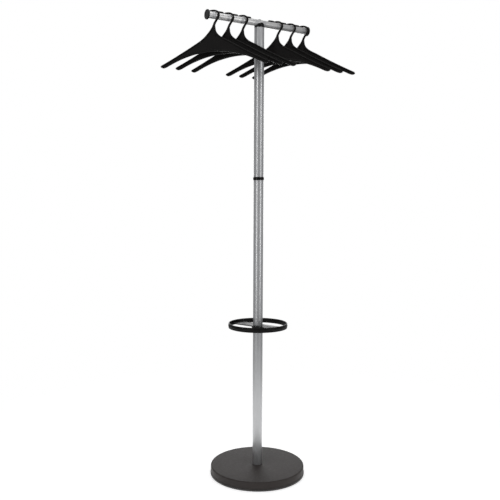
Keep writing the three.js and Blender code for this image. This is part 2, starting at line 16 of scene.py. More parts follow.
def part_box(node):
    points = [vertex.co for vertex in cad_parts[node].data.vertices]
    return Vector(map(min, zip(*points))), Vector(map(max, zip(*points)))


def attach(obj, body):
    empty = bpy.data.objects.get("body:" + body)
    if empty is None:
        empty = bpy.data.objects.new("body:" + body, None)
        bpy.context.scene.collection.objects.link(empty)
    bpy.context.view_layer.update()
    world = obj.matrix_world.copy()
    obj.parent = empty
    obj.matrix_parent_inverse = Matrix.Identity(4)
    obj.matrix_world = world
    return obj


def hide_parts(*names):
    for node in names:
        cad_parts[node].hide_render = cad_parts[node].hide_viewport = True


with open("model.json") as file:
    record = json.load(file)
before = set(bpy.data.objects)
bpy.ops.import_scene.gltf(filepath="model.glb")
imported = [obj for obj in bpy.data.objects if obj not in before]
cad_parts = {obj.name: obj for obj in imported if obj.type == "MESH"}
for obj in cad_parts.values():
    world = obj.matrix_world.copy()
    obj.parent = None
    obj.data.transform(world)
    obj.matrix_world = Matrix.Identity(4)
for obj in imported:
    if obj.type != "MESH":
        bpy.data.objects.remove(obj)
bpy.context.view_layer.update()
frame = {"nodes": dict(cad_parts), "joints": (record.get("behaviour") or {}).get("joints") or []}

LOG = logging.getLogger("coat_stand")

MM = 0.001
# The way the hangers hang, seen from above, and what one of them is turned beyond it.
HANGER_YAW_DEG = -47.0
TURNED_FURTHER_DEG = {3: -3.5}

Point = tuple[float, float]
Socket = bpy.types.NodeSocket
Tree = bpy.types.NodeTree
Inputs = dict[str | int, object]


class Axis(Enum):
    """The axis that a turned piece is spun about."""

    X = Vector((1, 0, 0))
    Z = Vector((0, 0, 1))


class Side(Enum):
    """The two ends of the crossbar."""

    LEFT = -1
    RIGHT = 1


# ---------------------------------------------------------------- node and colour helpers


def linear(hex_colour: str) -> tuple[float, float, float, float]:
    """Turns an sRGB hex colour into the linear colour that nodes take.

    Args:
        hex_colour: Six hex digits with a leading #.

    Returns:
        Red, green, blue and an alpha of one.
    """
    channels = [int(hex_colour[i : i + 2], 16) / 255 for i in (1, 3, 5)]
    linear_channels = [c / 12.92 if c <= 0.04045 else ((c + 0.055) / 1.055) ** 2.4 for c in channels]
    return (*linear_channels, 1.0)


def add_node(tree: Tree, kind: str, inputs: Inputs | None = None, **settings: object) -> bpy.types.Node:
    """Adds a node with its settings, and fills or links its inputs.

    Args:
        tree: The node tree that takes the node.
        kind: The node's type name without the ShaderNode in front.
        inputs: Values, sockets or nodes by input name or number. A node gives its first output.
        settings: Properties of the node.

    Returns:
        The new node.
    """
    made = tree.nodes.new("ShaderNode" + kind)
    for name, value in settings.items():
        setattr(made, name, value)
    for key, value in (inputs or {}).items():
        if isinstance(value, bpy.types.Node):
            value = value.outputs[0]
        if isinstance(value, Socket):
            tree.links.new(value, made.inputs[key])
        else:
            made.inputs[key].default_value = value
    return made


def per_mm(size_mm: float) -> float:
    """Returns the scale of a noise whose blobs are about this many millimetres across."""
    return 1 / (size_mm * MM)


def ramp(value: bpy.types.Node, start: float, end: float, low: float = 0.0, high: float = 1.0) -> Inputs:
    """Gives what a range takes to turn one stretch of a value into another.

    Args:
        value: The node whose value is read.
        start: Lower end of the stretch that counts.
        end: Upper end of the stretch that counts.
        low: Result at and under start.
        high: Result at and over end.

    Returns:
        The inputs.
    """
    return {"Value": value, "From Min": start, "From Max": end, "To Min": low, "To Max": high}


# ---------------------------------------------------------------- finishes


@dataclass(frozen=True)
class Finish:
    """A surface finish: what every one of them shares.

    Attributes:
        name: The material's name.
        slot: The record's material slot that the finish answers to.
        colour: sRGB hex colour of the clean surface.
        roughness: Middle roughness of the surface.
    """

    name: str
    # slot: The record's material slot that the finish answers to; not used.
    slot: str
    colour: str
    roughness: float

    def material(self) -> bpy.types.Material:
        """Makes the material, or returns it if it has been made.

        Returns:
            The material.
        """
        made = bpy.data.materials.get(self.name)
        if made is None:
            made = bpy.data.materials.new(self.name)
            made.use_nodes = True
            made.diffuse_color = linear(self.colour)
            tree = made.node_tree
            tree.nodes.clear()
            shader = add_node(tree, "BsdfPrincipled", self.surface(tree))
            add_node(tree, "OutputMaterial", {"Surface": shader})
        return made

    def surface(self, tree: Tree) -> Inputs:
        """Adds the pattern nodes and gives what the shader takes.

        Args:
            tree: The material's node tree.

        Returns:
            Values and sockets by the shader's input names.
        """
        raise NotImplementedError


@dataclass(frozen=True)
class SilverPowderCoat(Finish):
    """Steel tube with a polyester powder coat that holds aluminium flake.

    The flakes lie flat in a clear-topped film, so the tube has a soft metallic gleam with a little
    sparkle, a faint orange peel, and fine lines from the drawing of the tube under it.

    Attributes:
        grain_axis: The direction that the drawn lines run in.
        hook_shadow_first_mm: Distance from the middle to the first hook's painted shadow on the bar, or zero for none.
        hook_shadow_pitch_mm: Distance between the hooks' painted shadows.
        hook_shadow_half_mm: Half the width of one painted hook shadow.
        flake: sRGB hex colour of the paler flakes.
        hook_shadow_colour: sRGB hex colour of the painted shadow under a hook.
    """

    grain_axis: Axis = Axis.Z
    hook_shadow_first_mm: float = 0.0
    hook_shadow_pitch_mm: float = 0.0
    hook_shadow_half_mm: float = 9.0
    flake: str = "#B9BABB"
    hook_shadow_colour: str = "#8E9093"

    def surface(self, tree: Tree) -> Inputs:
        """Lays flake, orange peel and drawn lines, and paints darker, rougher streaks of hook shadow where hooks hang.

        Args:
            tree: The material's node tree.

        Returns:
            Values and sockets by the shader's input names.
        """
        where = add_node(tree, "TexCoord").outputs["Object"]
        # Aluminium flake is tens of microns across. It is drawn near a millimetre so that it shows.
        flake = add_node(tree, "TexNoise", {"Vector": where, "Scale": per_mm(1.1), "Detail": 3.0, "Roughness": 0.7})
        cloud = add_node(tree, "TexNoise", {"Vector": where, "Scale": per_mm(46.0)})
        # Drawn lines are a fraction of a millimetre apart round the tube and run along it.
        along = (0.012, 1, 1) if self.grain_axis is Axis.X else (1, 1, 0.012)
        stretched = add_node(tree, "Mapping", {"Vector": where, "Scale": along})
        lines = add_node(tree, "TexNoise", {"Vector": stretched, "Scale": per_mm(0.9), "Roughness": 0.6})
        peel = add_node(tree, "TexNoise", {"Vector": where, "Scale": per_mm(3.2), "Detail": 1.0})
        share = add_node(tree, "MapRange", ramp(flake, 0.3, 0.7))
        colours: Inputs = {0: share, 6: linear(self.colour), 7: linear(self.flake)}
        tone = add_node(tree, "Mix", colours, data_type="RGBA").outputs[2]
        gleam = add_node(tree, "MapRange", ramp(cloud, 0.3, 0.7, self.roughness - 0.03, self.roughness + 0.04))
        if self.hook_shadow_pitch_mm:
            # Painted shade: the tone turns a darker grey in streaks where each hook sits on the bar, and the surface is
            # made rougher there.
            streaked_hook_shadow = add_node(tree, "Math", {0: self.painted_hook_shadow(tree, where), 1: lines}, operation="MULTIPLY")
            tone = add_node(tree, "Mix", {0: streaked_hook_shadow, 6: tone, 7: linear(self.hook_shadow_colour)}, data_type="RGBA").outputs[2]
            gleam = add_node(tree, "MapRange", ramp(streaked_hook_shadow, 0.0, 1.0, self.roughness, self.roughness + 0.2))
        relief = add_node(tree, "Bump", {"Height": peel, "Distance": 0.012 * MM})
        relief = add_node(tree, "Bump", {"Height": lines, "Distance": 0.004 * MM, "Normal": relief})
        relief = add_node(tree, "Bump", {"Height": flake, "Distance": 0.003 * MM, "Normal": relief})
        return {"Base Color": tone, "Roughness": gleam, "Metallic": 0.7, "Normal": relief}

    def painted_hook_shadow(self, tree: Tree, where: Socket) -> bpy.types.Node:
        """Gives one where a hook's shadow is painted on the bar, and zero between the hooks.

        Args:
            tree: The node tree.
            where: The bar's own coordinates.

        Returns:
            The node with the share of rubbing.
        """
        x = add_node(tree, "SeparateXYZ", {0: where})
        distance = add_node(tree, "Math", {0: x}, operation="ABSOLUTE")
        first = add_node(tree, "Math", {0: distance, 1: self.hook_shadow_first_mm * MM}, operation="SUBTRACT")
        off = add_node(tree, "Math", {0: first, 1: self.hook_shadow_pitch_mm * MM / 2}, operation="PINGPONG")
        half = self.hook_shadow_half_mm * MM
        return add_node(tree, "MapRange", ramp(off, half / 2, half, 1.0, 0.0))


@dataclass(frozen=True)
class CharcoalPowderCoat(Finish):
    """Pressed sheet steel with a fine-texture polyester powder coat.

    The film dries to a fine leathery grain, so it looks soft and nearly matt. Shoes and umbrella
    tips leave pale scuffs, and dust settles on the flat top.

    Attributes:
        scuff: sRGB hex colour of scuffs and dust.
        faded: sRGB hex colour of the paler clouds in the film.
    """

    scuff: str = "#4E4844"
    faded: str = "#302B29"

    def surface(self, tree: Tree) -> Inputs:
        """Lays the film's grain, cloudy tone and scuffs.

        Args:
            tree: The material's node tree.

        Returns:
            Values and sockets by the shader's input names.
        """
        where = add_node(tree, "TexCoord").outputs["Object"]
        # The film's grain is near half a millimetre. It is drawn coarser so that it shows.
        grain = add_node(tree, "TexNoise", {"Vector": where, "Scale": per_mm(1.5), "Roughness": 0.6})
        cloud = add_node(tree, "TexNoise", {"Vector": where, "Scale": per_mm(70.0), "Detail": 3.0})
        dust = add_node(tree, "TexNoise", {"Vector": where, "Scale": per_mm(9.0), "Detail": 4.0, "Roughness": 0.7})
        # Scuffs are short strokes a fraction of a millimetre wide. They are drawn wider so that they show.
        slanted = add_node(tree, "Mapping", {"Vector": where, "Scale": (0.07, 1, 1), "Rotation": (0, 0, 0.6)})
        marks: Inputs = {"Vector": slanted, "Scale": per_mm(2.6), "Detail": 3.0, "Roughness": 0.65}
        strokes = add_node(tree, "TexNoise", marks)
        tone: tuple[float, ...] | Socket = linear(self.colour)
        for share, colour in ((ramp(cloud, 0.3, 0.7), self.faded), (ramp(dust, 0.5, 0.8, 0.0, 0.16), self.scuff),
                              (ramp(strokes, 0.66, 0.76, 0.0, 0.35), self.scuff)):
            laid: Inputs = {0: add_node(tree, "MapRange", share), 6: tone, 7: linear(colour)}
            tone = add_node(tree, "Mix", laid, data_type="RGBA").outputs[2]
        dull = add_node(tree, "MapRange", ramp(dust, 0.3, 0.7, self.roughness, self.roughness + 0.14))
        relief = add_node(tree, "Bump", {"Height": grain, "Distance": 0.10 * MM})
        return {"Base Color": tone, "Roughness": dull, "Specular IOR Level": 0.27, "Normal": relief}


@dataclass(frozen=True)
class MouldedPlastic(Finish):
    """Injection-moulded polypropylene or ABS, black through.

    The mould's spark-eroded skin leaves a fine even grain with a satin sheen. Handling polishes it
    in patches and leaves hairline scratches that catch the light.

    Attributes:
        grain_mm: Width of one grain of the mould's texture.
        grain_depth_mm: Depth of that grain.
        specular: Strength of the sheen, where 0.5 is plain plastic.
        polished: sRGB hex colour of the handled patches.
        scratch: sRGB hex colour of a hairline scratch.
    """

    grain_mm: float = 0.8
    grain_depth_mm: float = 0.02
    specular: float = 0.5
    polished: str = "#151414"
    scratch: str = "#3C3A38"

    def surface(self, tree: Tree) -> Inputs:
        """Lays the moulded grain, polished patches and hairlines.

        Args:
            tree: The material's node tree.

        Returns:
            Values and sockets by the shader's input names.
        """
        where = add_node(tree, "TexCoord").outputs["Object"]
        grain = add_node(tree, "TexNoise", {"Vector": where, "Scale": per_mm(self.grain_mm)})
        patches = add_node(tree, "TexNoise", {"Vector": where, "Scale": per_mm(24.0), "Detail": 3.0})
        # A hairline is a few hundredths of a millimetre wide. It is drawn wider so that it shows.
        slanted = add_node(tree, "Mapping", {"Vector": where, "Scale": (1, 0.05, 0.6), "Rotation": (0.3, 0.2, 0.8)})
        strokes = add_node(tree, "TexNoise", {"Vector": slanted, "Scale": per_mm(1.6), "Roughness": 0.7})
        hairline = add_node(tree, "MapRange", ramp(strokes, 0.66, 0.74))
        tone: tuple[float, ...] | Socket = linear(self.colour)
        for share, colour in ((ramp(patches, 0.3, 0.7, 0.0, 0.5), self.polished),
                              (ramp(hairline, 0.0, 1.0, 0.0, 0.22), self.scratch)):
            laid: Inputs = {0: add_node(tree, "MapRange", share), 6: tone, 7: linear(colour)}
            tone = add_node(tree, "Mix", laid, data_type="RGBA").outputs[2]
        sheen = add_node(tree, "MapRange", ramp(patches, 0.3, 0.7, self.roughness - 0.06, self.roughness + 0.07))
        relief = add_node(tree, "Bump", {"Height": grain, "Distance": self.grain_depth_mm * MM})
        relief = add_node(tree, "Bump", {"Height": hairline, "Distance": -0.01 * MM, "Normal": relief})
        return {"Base Color": tone, "Roughness": sheen, "Specular IOR Level": self.specular, "Normal": relief}


@dataclass(frozen=True)
class MouldedRubber(Finish):
    """Compression-moulded nitrile rubber: dead matt, with a pale bloom and grit pressed in.

    Attributes:
        bloom: sRGB hex colour of the bloom.
    """

    bloom: str = "#3B3937"

    def surface(self, tree: Tree) -> Inputs:
        """Lays bloom and grit.

        Args:
            tree: The material's node tree.

        Returns:
            Values and sockets by the shader's input names.
        """
        where = add_node(tree, "TexCoord").outputs["Object"]
        bloom = add_node(tree, "TexNoise", {"Vector": where, "Scale": per_mm(7.0), "Detail": 3.0})
        grit = add_node(tree, "TexNoise", {"Vector": where, "Scale": per_mm(0.7)})
        share = add_node(tree, "MapRange", ramp(bloom, 0.3, 0.7, 0.0, 0.5))
        colours: Inputs = {0: share, 6: linear(self.colour), 7: linear(self.bloom)}
        tone = add_node(tree, "Mix", colours, data_type="RGBA").outputs[2]
        dull = add_node(tree, "MapRange", ramp(grit, 0.3, 0.7, self.roughness - 0.08, self.roughness + 0.06))
        relief = add_node(tree, "Bump", {"Height": grit, "Distance": 0.06 * MM})
        return {"Base Color": tone, "Roughness": dull, "Specular IOR Level": 0.35, "Normal": relief}


@dataclass(frozen=True)
class BareMetal(Finish):
    """Zinc-plated or turned steel, or lacquered cast iron.

    Plating clouds the shine in soft patches, and a casting has a coarse sand skin.

    Attributes:
        stain: sRGB hex colour of the clouded patches.
        grain_mm: Width of the surface's grain.
        grain_depth_mm: Depth of that grain.
    """

    stain: str = "#8A8C8B"
    grain_mm: float = 0.6
    grain_depth_mm: float = 0.008

    def surface(self, tree: Tree) -> Inputs:
        """Lays the metal's clouded patches and its grain.

        Args:
            tree: The material's node tree.

        Returns:
            Values and sockets by the shader's input names.
        """
        where = add_node(tree, "TexCoord").outputs["Object"]
        cloud = add_node(tree, "TexNoise", {"Vector": where, "Scale": per_mm(5.0), "Detail": 3.0})
        grain = add_node(tree, "TexNoise", {"Vector": where, "Scale": per_mm(self.grain_mm), "Detail": 3.0})
        share = add_node(tree, "MapRange", ramp(cloud, 0.3, 0.7))
        colours: Inputs = {0: share, 6: linear(self.colour), 7: linear(self.stain)}
        tone = add_node(tree, "Mix", colours, data_type="RGBA").outputs[2]
        shine = add_node(tree, "MapRange", ramp(cloud, 0.3, 0.7, self.roughness - 0.05, self.roughness + 0.1))
        relief = add_node(tree, "Bump", {"Height": grain, "Distance": self.grain_depth_mm * MM})
        return {"Base Color": tone, "Roughness": shine, "Metallic": 1.0, "Normal": relief}


# Long soft highlights down the tube, with a fine metallic sparkle.
SILVER_COLUMN = SilverPowderCoat("silver_powder_coat_column", "silver_tube", "#A9AAAB", 0.34)
# The same coat, a little paler, with painted hook shadows: greyed and made rougher where the hooks hang.
SILVER_BAR = SilverPowderCoat(
    "silver_powder_coat_crossbar", "silver_tube", "#C4C3C1", 0.36, Axis.X, hook_shadow_first_mm=79.0, hook_shadow_pitch_mm=61.5
)
# A warm dark grey that is nearly matt, with a leathery grain and a few pale scuffs.
CHARCOAL_STEEL = CharcoalPowderCoat("charcoal_texture_powder_coat", "cover", "#2A2523", 0.54)
# The same dark grey, smoother, as a thin line round the foot.
CHARCOAL_TRAY = MouldedPlastic("charcoal_moulded_abs", "tray", "#2C2A29", 0.5, 1.2, 0.02, 0.4)
# Deep black with a weak, even sheen on the rims.
HANGER_PLASTIC = MouldedPlastic("black_moulded_polypropylene", "hangers", "#0A0807", 0.52, 0.9, 0.008, 0.1)
# Black that turns grey where the flat plate is seen at a low angle.
HOLDER_PLASTIC = MouldedPlastic("black_moulded_abs", "umbrella_holder", "#070605", 0.42, 0.8, 0.004, 0.12)
# Black with small, tight highlights.
COLLAR_PLASTIC = MouldedPlastic("black_gloss_abs", "collar", "#060606", 0.26, 0.7, 0.004, 0.14)
# Black with a soft ring of light round the dished face.
CAP_PLASTIC = MouldedPlastic("black_satin_abs", "caps", "#080808", 0.34, 0.7, 0.008, 0.3)
# Black with a soft glint on the round ends.
SPACER_PLASTIC = MouldedPlastic("black_moulded_polyamide", "spacers", "#090808", 0.38, 0.7, 0.008, 0.3)
# Dead flat dark grey that never glints.
PAD_RUBBER = MouldedRubber("black_moulded_rubber", "pads", "#161514", 0.85)
# Pale blue-white metal with a cloudy shine.
ZINC = BareMetal("zinc_plated_steel", "fasteners", "#C2C4C3", 0.3, "#A3A6A8")
# Plain grey metal, a little brown in its clouds.
TURNED_STEEL = BareMetal("turned_steel", "inserts", "#A9A9A6", 0.34, "#8D8B86")
# Near-black metal with a coarse sandy skin.
CAST_IRON = BareMetal("lacquered_cast_iron", "ballast", "#2C2C2D", 0.6, "#3A3836", 2.4, 0.25)


# ---------------------------------------------------------------- shaping helpers


def arc(centre: Point, radius: float, start_deg: float, end_deg: float, steps: int) -> list[Point]:
    """Returns the points of an arc.

    Args:
        centre: The arc's centre.
        radius: Its radius.
        start_deg: Angle of its first point.
        end_deg: Angle of its last point.
        steps: Number of chords.

    Returns:
        The points, first to last.
    """
    angles = [math.radians(start_deg + (end_deg - start_deg) * i / steps) for i in range(steps + 1)]
    return [(centre[0] + radius * math.cos(a), centre[1] + radius * math.sin(a)) for a in angles]


def eased(corners: Sequence[tuple[float, float, float]], steps: int = 4) -> list[Point]:
    """Rounds the corners of a closed outline.

    Args:
        corners: Each corner's two coordinates and the radius of its fillet, all in one unit.
        steps: Chords in each fillet.

    Returns:
        The outline with its round corners.
    """
    points: list[Point] = []
    count = len(corners)
    for i, (x, y, radius) in enumerate(corners):
        here = Vector((x, y))
        if radius <= 0:
            points.append((x, y))
            continue
        before = (Vector(corners[i - 1][:2]) - here).normalized()
        after = (Vector(corners[(i + 1) % count][:2]) - here).normalized()
        half = math.acos(max(-1.0, min(1.0, before.dot(after)))) / 2
        setback = radius / math.tan(half)
        centre = here + (before + after).normalized() * radius / math.sin(half)
        first = here + before * setback - centre
        last = here + after * setback - centre
        turn = first.angle_signed(last)
        for k in range(steps + 1):
            rotated = first.copy()
            rotated.rotate(Matrix.Rotation(-turn * k / steps, 2))
            points.append(tuple(centre + rotated))
    return points


def bezier(curve: Sequence[Vector], t: float) -> Vector:
    """Returns a point of a cubic curve from its four control points."""
    weights = ((1 - t) ** 3, 3 * t * (1 - t) ** 2, 3 * t * t * (1 - t), t**3)
    return sum((w * p for w, p in zip(weights, curve)), curve[0] * 0)


def closed_wire(bm: BMesh, points: Iterable[Vector]) -> list[BMEdge]:
    """Adds a closed line of edges through points and returns its edges."""
    verts = [bm.verts.new(p) for p in points]
    return [bm.edges.new((a, b)) for a, b in zip(verts, verts[1:] + verts[:1])]


def turned(profile: Sequence[Point], axis: Axis = Axis.Z, steps: int = 96) -> BMesh:
    """Turns a closed profile into a solid of revolution.

    Args:
        profile: Points of radius and place along the axis, in millimetres. A point on the axis has
            a radius of zero.
        axis: The axis it turns about.
        steps: Facets round the axis.

    Returns:
        A mesh in metres, with closed poles and normals outwards.
    """
    bm = bmesh.new()
    to_point: Callable[[Point], Vector] = (
        (lambda p: Vector((p[1], 0, p[0])) * MM) if axis is Axis.X else (lambda p: Vector((p[0], 0, p[1])) * MM)
    )
    edges = closed_wire(bm, [to_point(p) for p in profile])
    on_axis = [e for e in edges if all((v.co - v.co.project(axis.value)).length < 1e-9 for v in e.verts)]
    bmesh.ops.delete(bm, geom=on_axis, context="EDGES")
    bmesh.ops.spin(bm, geom=bm.verts[:] + bm.edges[:], axis=axis.value, cent=(0, 0, 0), angle=math.tau,
                   steps=steps, use_merge=True, use_normal_flip=False, use_duplicate=False)
    return cleaned(bm)


def rod(radius: float, low: float, high: float, axis: Axis = Axis.Z, steps: int = 96) -> BMesh:
    """Returns a plain round rod on an axis, from one height to another, in millimetres."""
    return turned([(0, low), (radius, low), (radius, high), (0, high)], axis, steps)


def pipe(inner: float, outer: float, low: float, high: float, ease: float, axis: Axis = Axis.Z) -> BMesh:
    """Returns a pipe with eased ends.

    Args:
        inner: Its bore's radius in millimetres.
        outer: Its outer radius.
        low: Place of its first end along the axis.
        high: Place of its last end.
        ease: Round of the ends' edges.
        axis: The axis it lies on.

    Returns:
        The pipe in metres.
    """
    return turned(eased([(inner, low, ease), (outer, low, ease), (outer, high, ease), (inner, high, ease)], 3), axis)


def cleaned(bm: BMesh) -> BMesh:
    """Merges doubles and turns every face outwards.

    Args:
        bm: The mesh.

    Returns:
        The same mesh.
    """
    bmesh.ops.remove_doubles(bm, verts=bm.verts, dist=1e-7)
    bmesh.ops.dissolve_degenerate(bm, dist=1e-8, edges=bm.edges)
    bmesh.ops.recalc_face_normals(bm, faces=bm.faces)
    return bm


def slab(outline: Sequence[Point], bottom: float, top: float) -> BMesh:
    """Raises a closed outline in X and Y into an upright slab.

    Args:
        outline: The outline in millimetres.
        bottom: Height of its lower face in millimetres.
        top: Height of its upper face in millimetres.

    Returns:
        The slab in metres.
    """
    bm = bmesh.new()
    edges = closed_wire(bm, [Vector((x, y, bottom)) * MM for x, y in outline])
    face = bmesh.ops.contextual_create(bm, geom=edges)["faces"]
    raised = bmesh.ops.extrude_face_region(bm, geom=face)["geom"]
    verts = [g for g in raised if isinstance(g, BMVert)]
    bmesh.ops.translate(bm, vec=(0, 0, (top - bottom) * MM), verts=verts)
    return cleaned(bm)


def hexagon(corner: float, bottom: float, top: float) -> BMesh:
    """Returns an upright hexagonal block from its corner radius and two heights in millimetres."""
    return slab(arc((0, 0), corner, 0, 300, 5), bottom, top)


def soften(bm: BMesh, width_mm: float, above_deg: float = 35.0, segments: int = 3,
           keep: Callable[[BMEdge], bool] | None = None) -> BMesh:
    """Bevels every edge that is sharper than an angle.

    Args:
        bm: The mesh.
        width_mm: The bevel's width in millimetres.
        above_deg: The least angle between an edge's faces that counts as sharp.
        segments: Faces across the bevel.
        keep: Says whether an edge may be bevelled.

    Returns:
        The same mesh.
    """
    limit = math.radians(above_deg)
    edges = [e for e in bm.edges if len(e.link_faces) == 2 and e.calc_face_angle(0.0) > limit]
    if keep is not None:
        edges = [e for e in edges if keep(e)]
    bmesh.ops.bevel(bm, geom=edges, offset=width_mm * MM, offset_type="OFFSET", affect="EDGES", segments=segments,
                    profile=0.5, material=-1, clamp_overlap=True, loop_slide=True)
    return cleaned(bm)


def to_mesh(bm: BMesh, name: str) -> bpy.types.Mesh:
    """Writes a bmesh into a new mesh and frees the bmesh.

    Args:
        bm: The bmesh, in metres.
        name: The mesh's name.

    Returns:
        The mesh.
    """
    mesh = bpy.data.meshes.new(name)
    bm.to_mesh(mesh)
    bm.free()
    return mesh


class Cut(Enum):
    """How one solid is worked with another."""

    JOIN = "UNION"
    REMOVE = "DIFFERENCE"
    COMMON = "INTERSECT"


def worked(blank: BMesh, steps: Sequence[tuple[Cut, BMesh]]) -> BMesh:
    """Joins, cuts or trims a solid with others, one after the other.

    Args:
        blank: The solid that is worked.
        steps: What is done and the tool that does it.

    Returns:
        The worked solid.
    """
    collection = bpy.context.scene.collection
    for how, tool in steps:
        work = bpy.data.objects.new("work", to_mesh(blank, "work"))
        other = bpy.data.objects.new("tool", to_mesh(tool, "tool"))
        collection.objects.link(work)
        collection.objects.link(other)
        modifier = work.modifiers.new(how.name, "BOOLEAN")
        modifier.operation = how.value
        modifier.solver = "EXACT"
        modifier.object = other
        bpy.context.view_layer.update()
        evaluated = work.evaluated_get(bpy.context.evaluated_depsgraph_get())
        blank = bmesh.new()
        blank.from_mesh(evaluated.to_mesh())
        evaluated.to_mesh_clear()
        for thing in (work, other):
            mesh = thing.data
            bpy.data.objects.remove(thing)
            bpy.data.meshes.remove(mesh)
        cleaned(blank)
    return blank


def moved(bm: BMesh, matrix: Matrix) -> BMesh:
    """Moves or turns a whole mesh and returns it."""
    bmesh.ops.transform(bm, matrix=matrix, verts=bm.verts)
    return bm


def at_mm(x: float, y: float, z: float) -> Matrix:
    """Returns a move by millimetres."""
    return Matrix.Translation(Vector((x, y, z)) * MM)


@dataclass(frozen=True)
class NodeBox:
    """The box of a frame node, in millimetres.

    Attributes:
        low: Lowest corner.
        high: Highest corner.
    """

    low: Vector
    high: Vector

    @classmethod
    def of(cls, node: str) -> "NodeBox":
        """Reads a node's box from the frame."""
        low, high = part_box(node)
        return cls(low / MM, high / MM)

    @property
    def middle(self) -> Vector:
        """The box's centre."""
        return (self.low + self.high) / 2

    @property
    def size(self) -> Vector:
        """The box's width, depth and height."""
        return self.high - self.low


class Assembly:
    """A sub-assembly that turns meshes into finished, riding pieces.

    Attributes:
        body: The body that its pieces ride on.
    """

    body: str = "stand"

    def fit(self, name: str, bm: BMesh, finish: Finish, node: str, body: str | None = None,
            smooth_deg: float = 38.0, refine: int = 0) -> bpy.types.Object:
        """Makes a piece of a mesh, dresses it and puts it on its body.

        Args:
            name: The piece's name.
            bm: Its mesh, in metres and in place.
            finish: Its finish.
            node: The frame node that it stands for.
            body: The body that it rides on, or None for the assembly's own.
            smooth_deg: Edges under this angle are shaded smooth.
            refine: Subdivision levels.

        Returns:
            The piece.
        """
        mesh = to_mesh(bm, name)
        mesh.shade_smooth()
        mesh.set_sharp_from_angle(angle=math.radians(smooth_deg))
        mesh.materials.append(finish.material())
        piece = bpy.data.objects.new(name, mesh)
        bpy.context.scene.collection.objects.link(piece)
        if refine:
            modifier = piece.modifiers.new("smooth", "SUBSURF")
            modifier.levels = refine
            modifier.render_levels = refine
        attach(piece, body or self.body)
        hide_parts(node)
        LOG.info("%s stands for %s with %d faces", name, node, len(mesh.polygons))
        return piece

    def dress_node(self, node: str, finish: Finish) -> None:
        """Gives a frame node that stays in view its finish.

        Args:
            node: The frame node.
            finish: Its finish.
        """
        thing = frame["nodes"][node]
        thing.data.materials.clear()
        thing.data.materials.append(finish.material())
        LOG.info("%s keeps its frame shape", node)


# ---------------------------------------------------------------- base


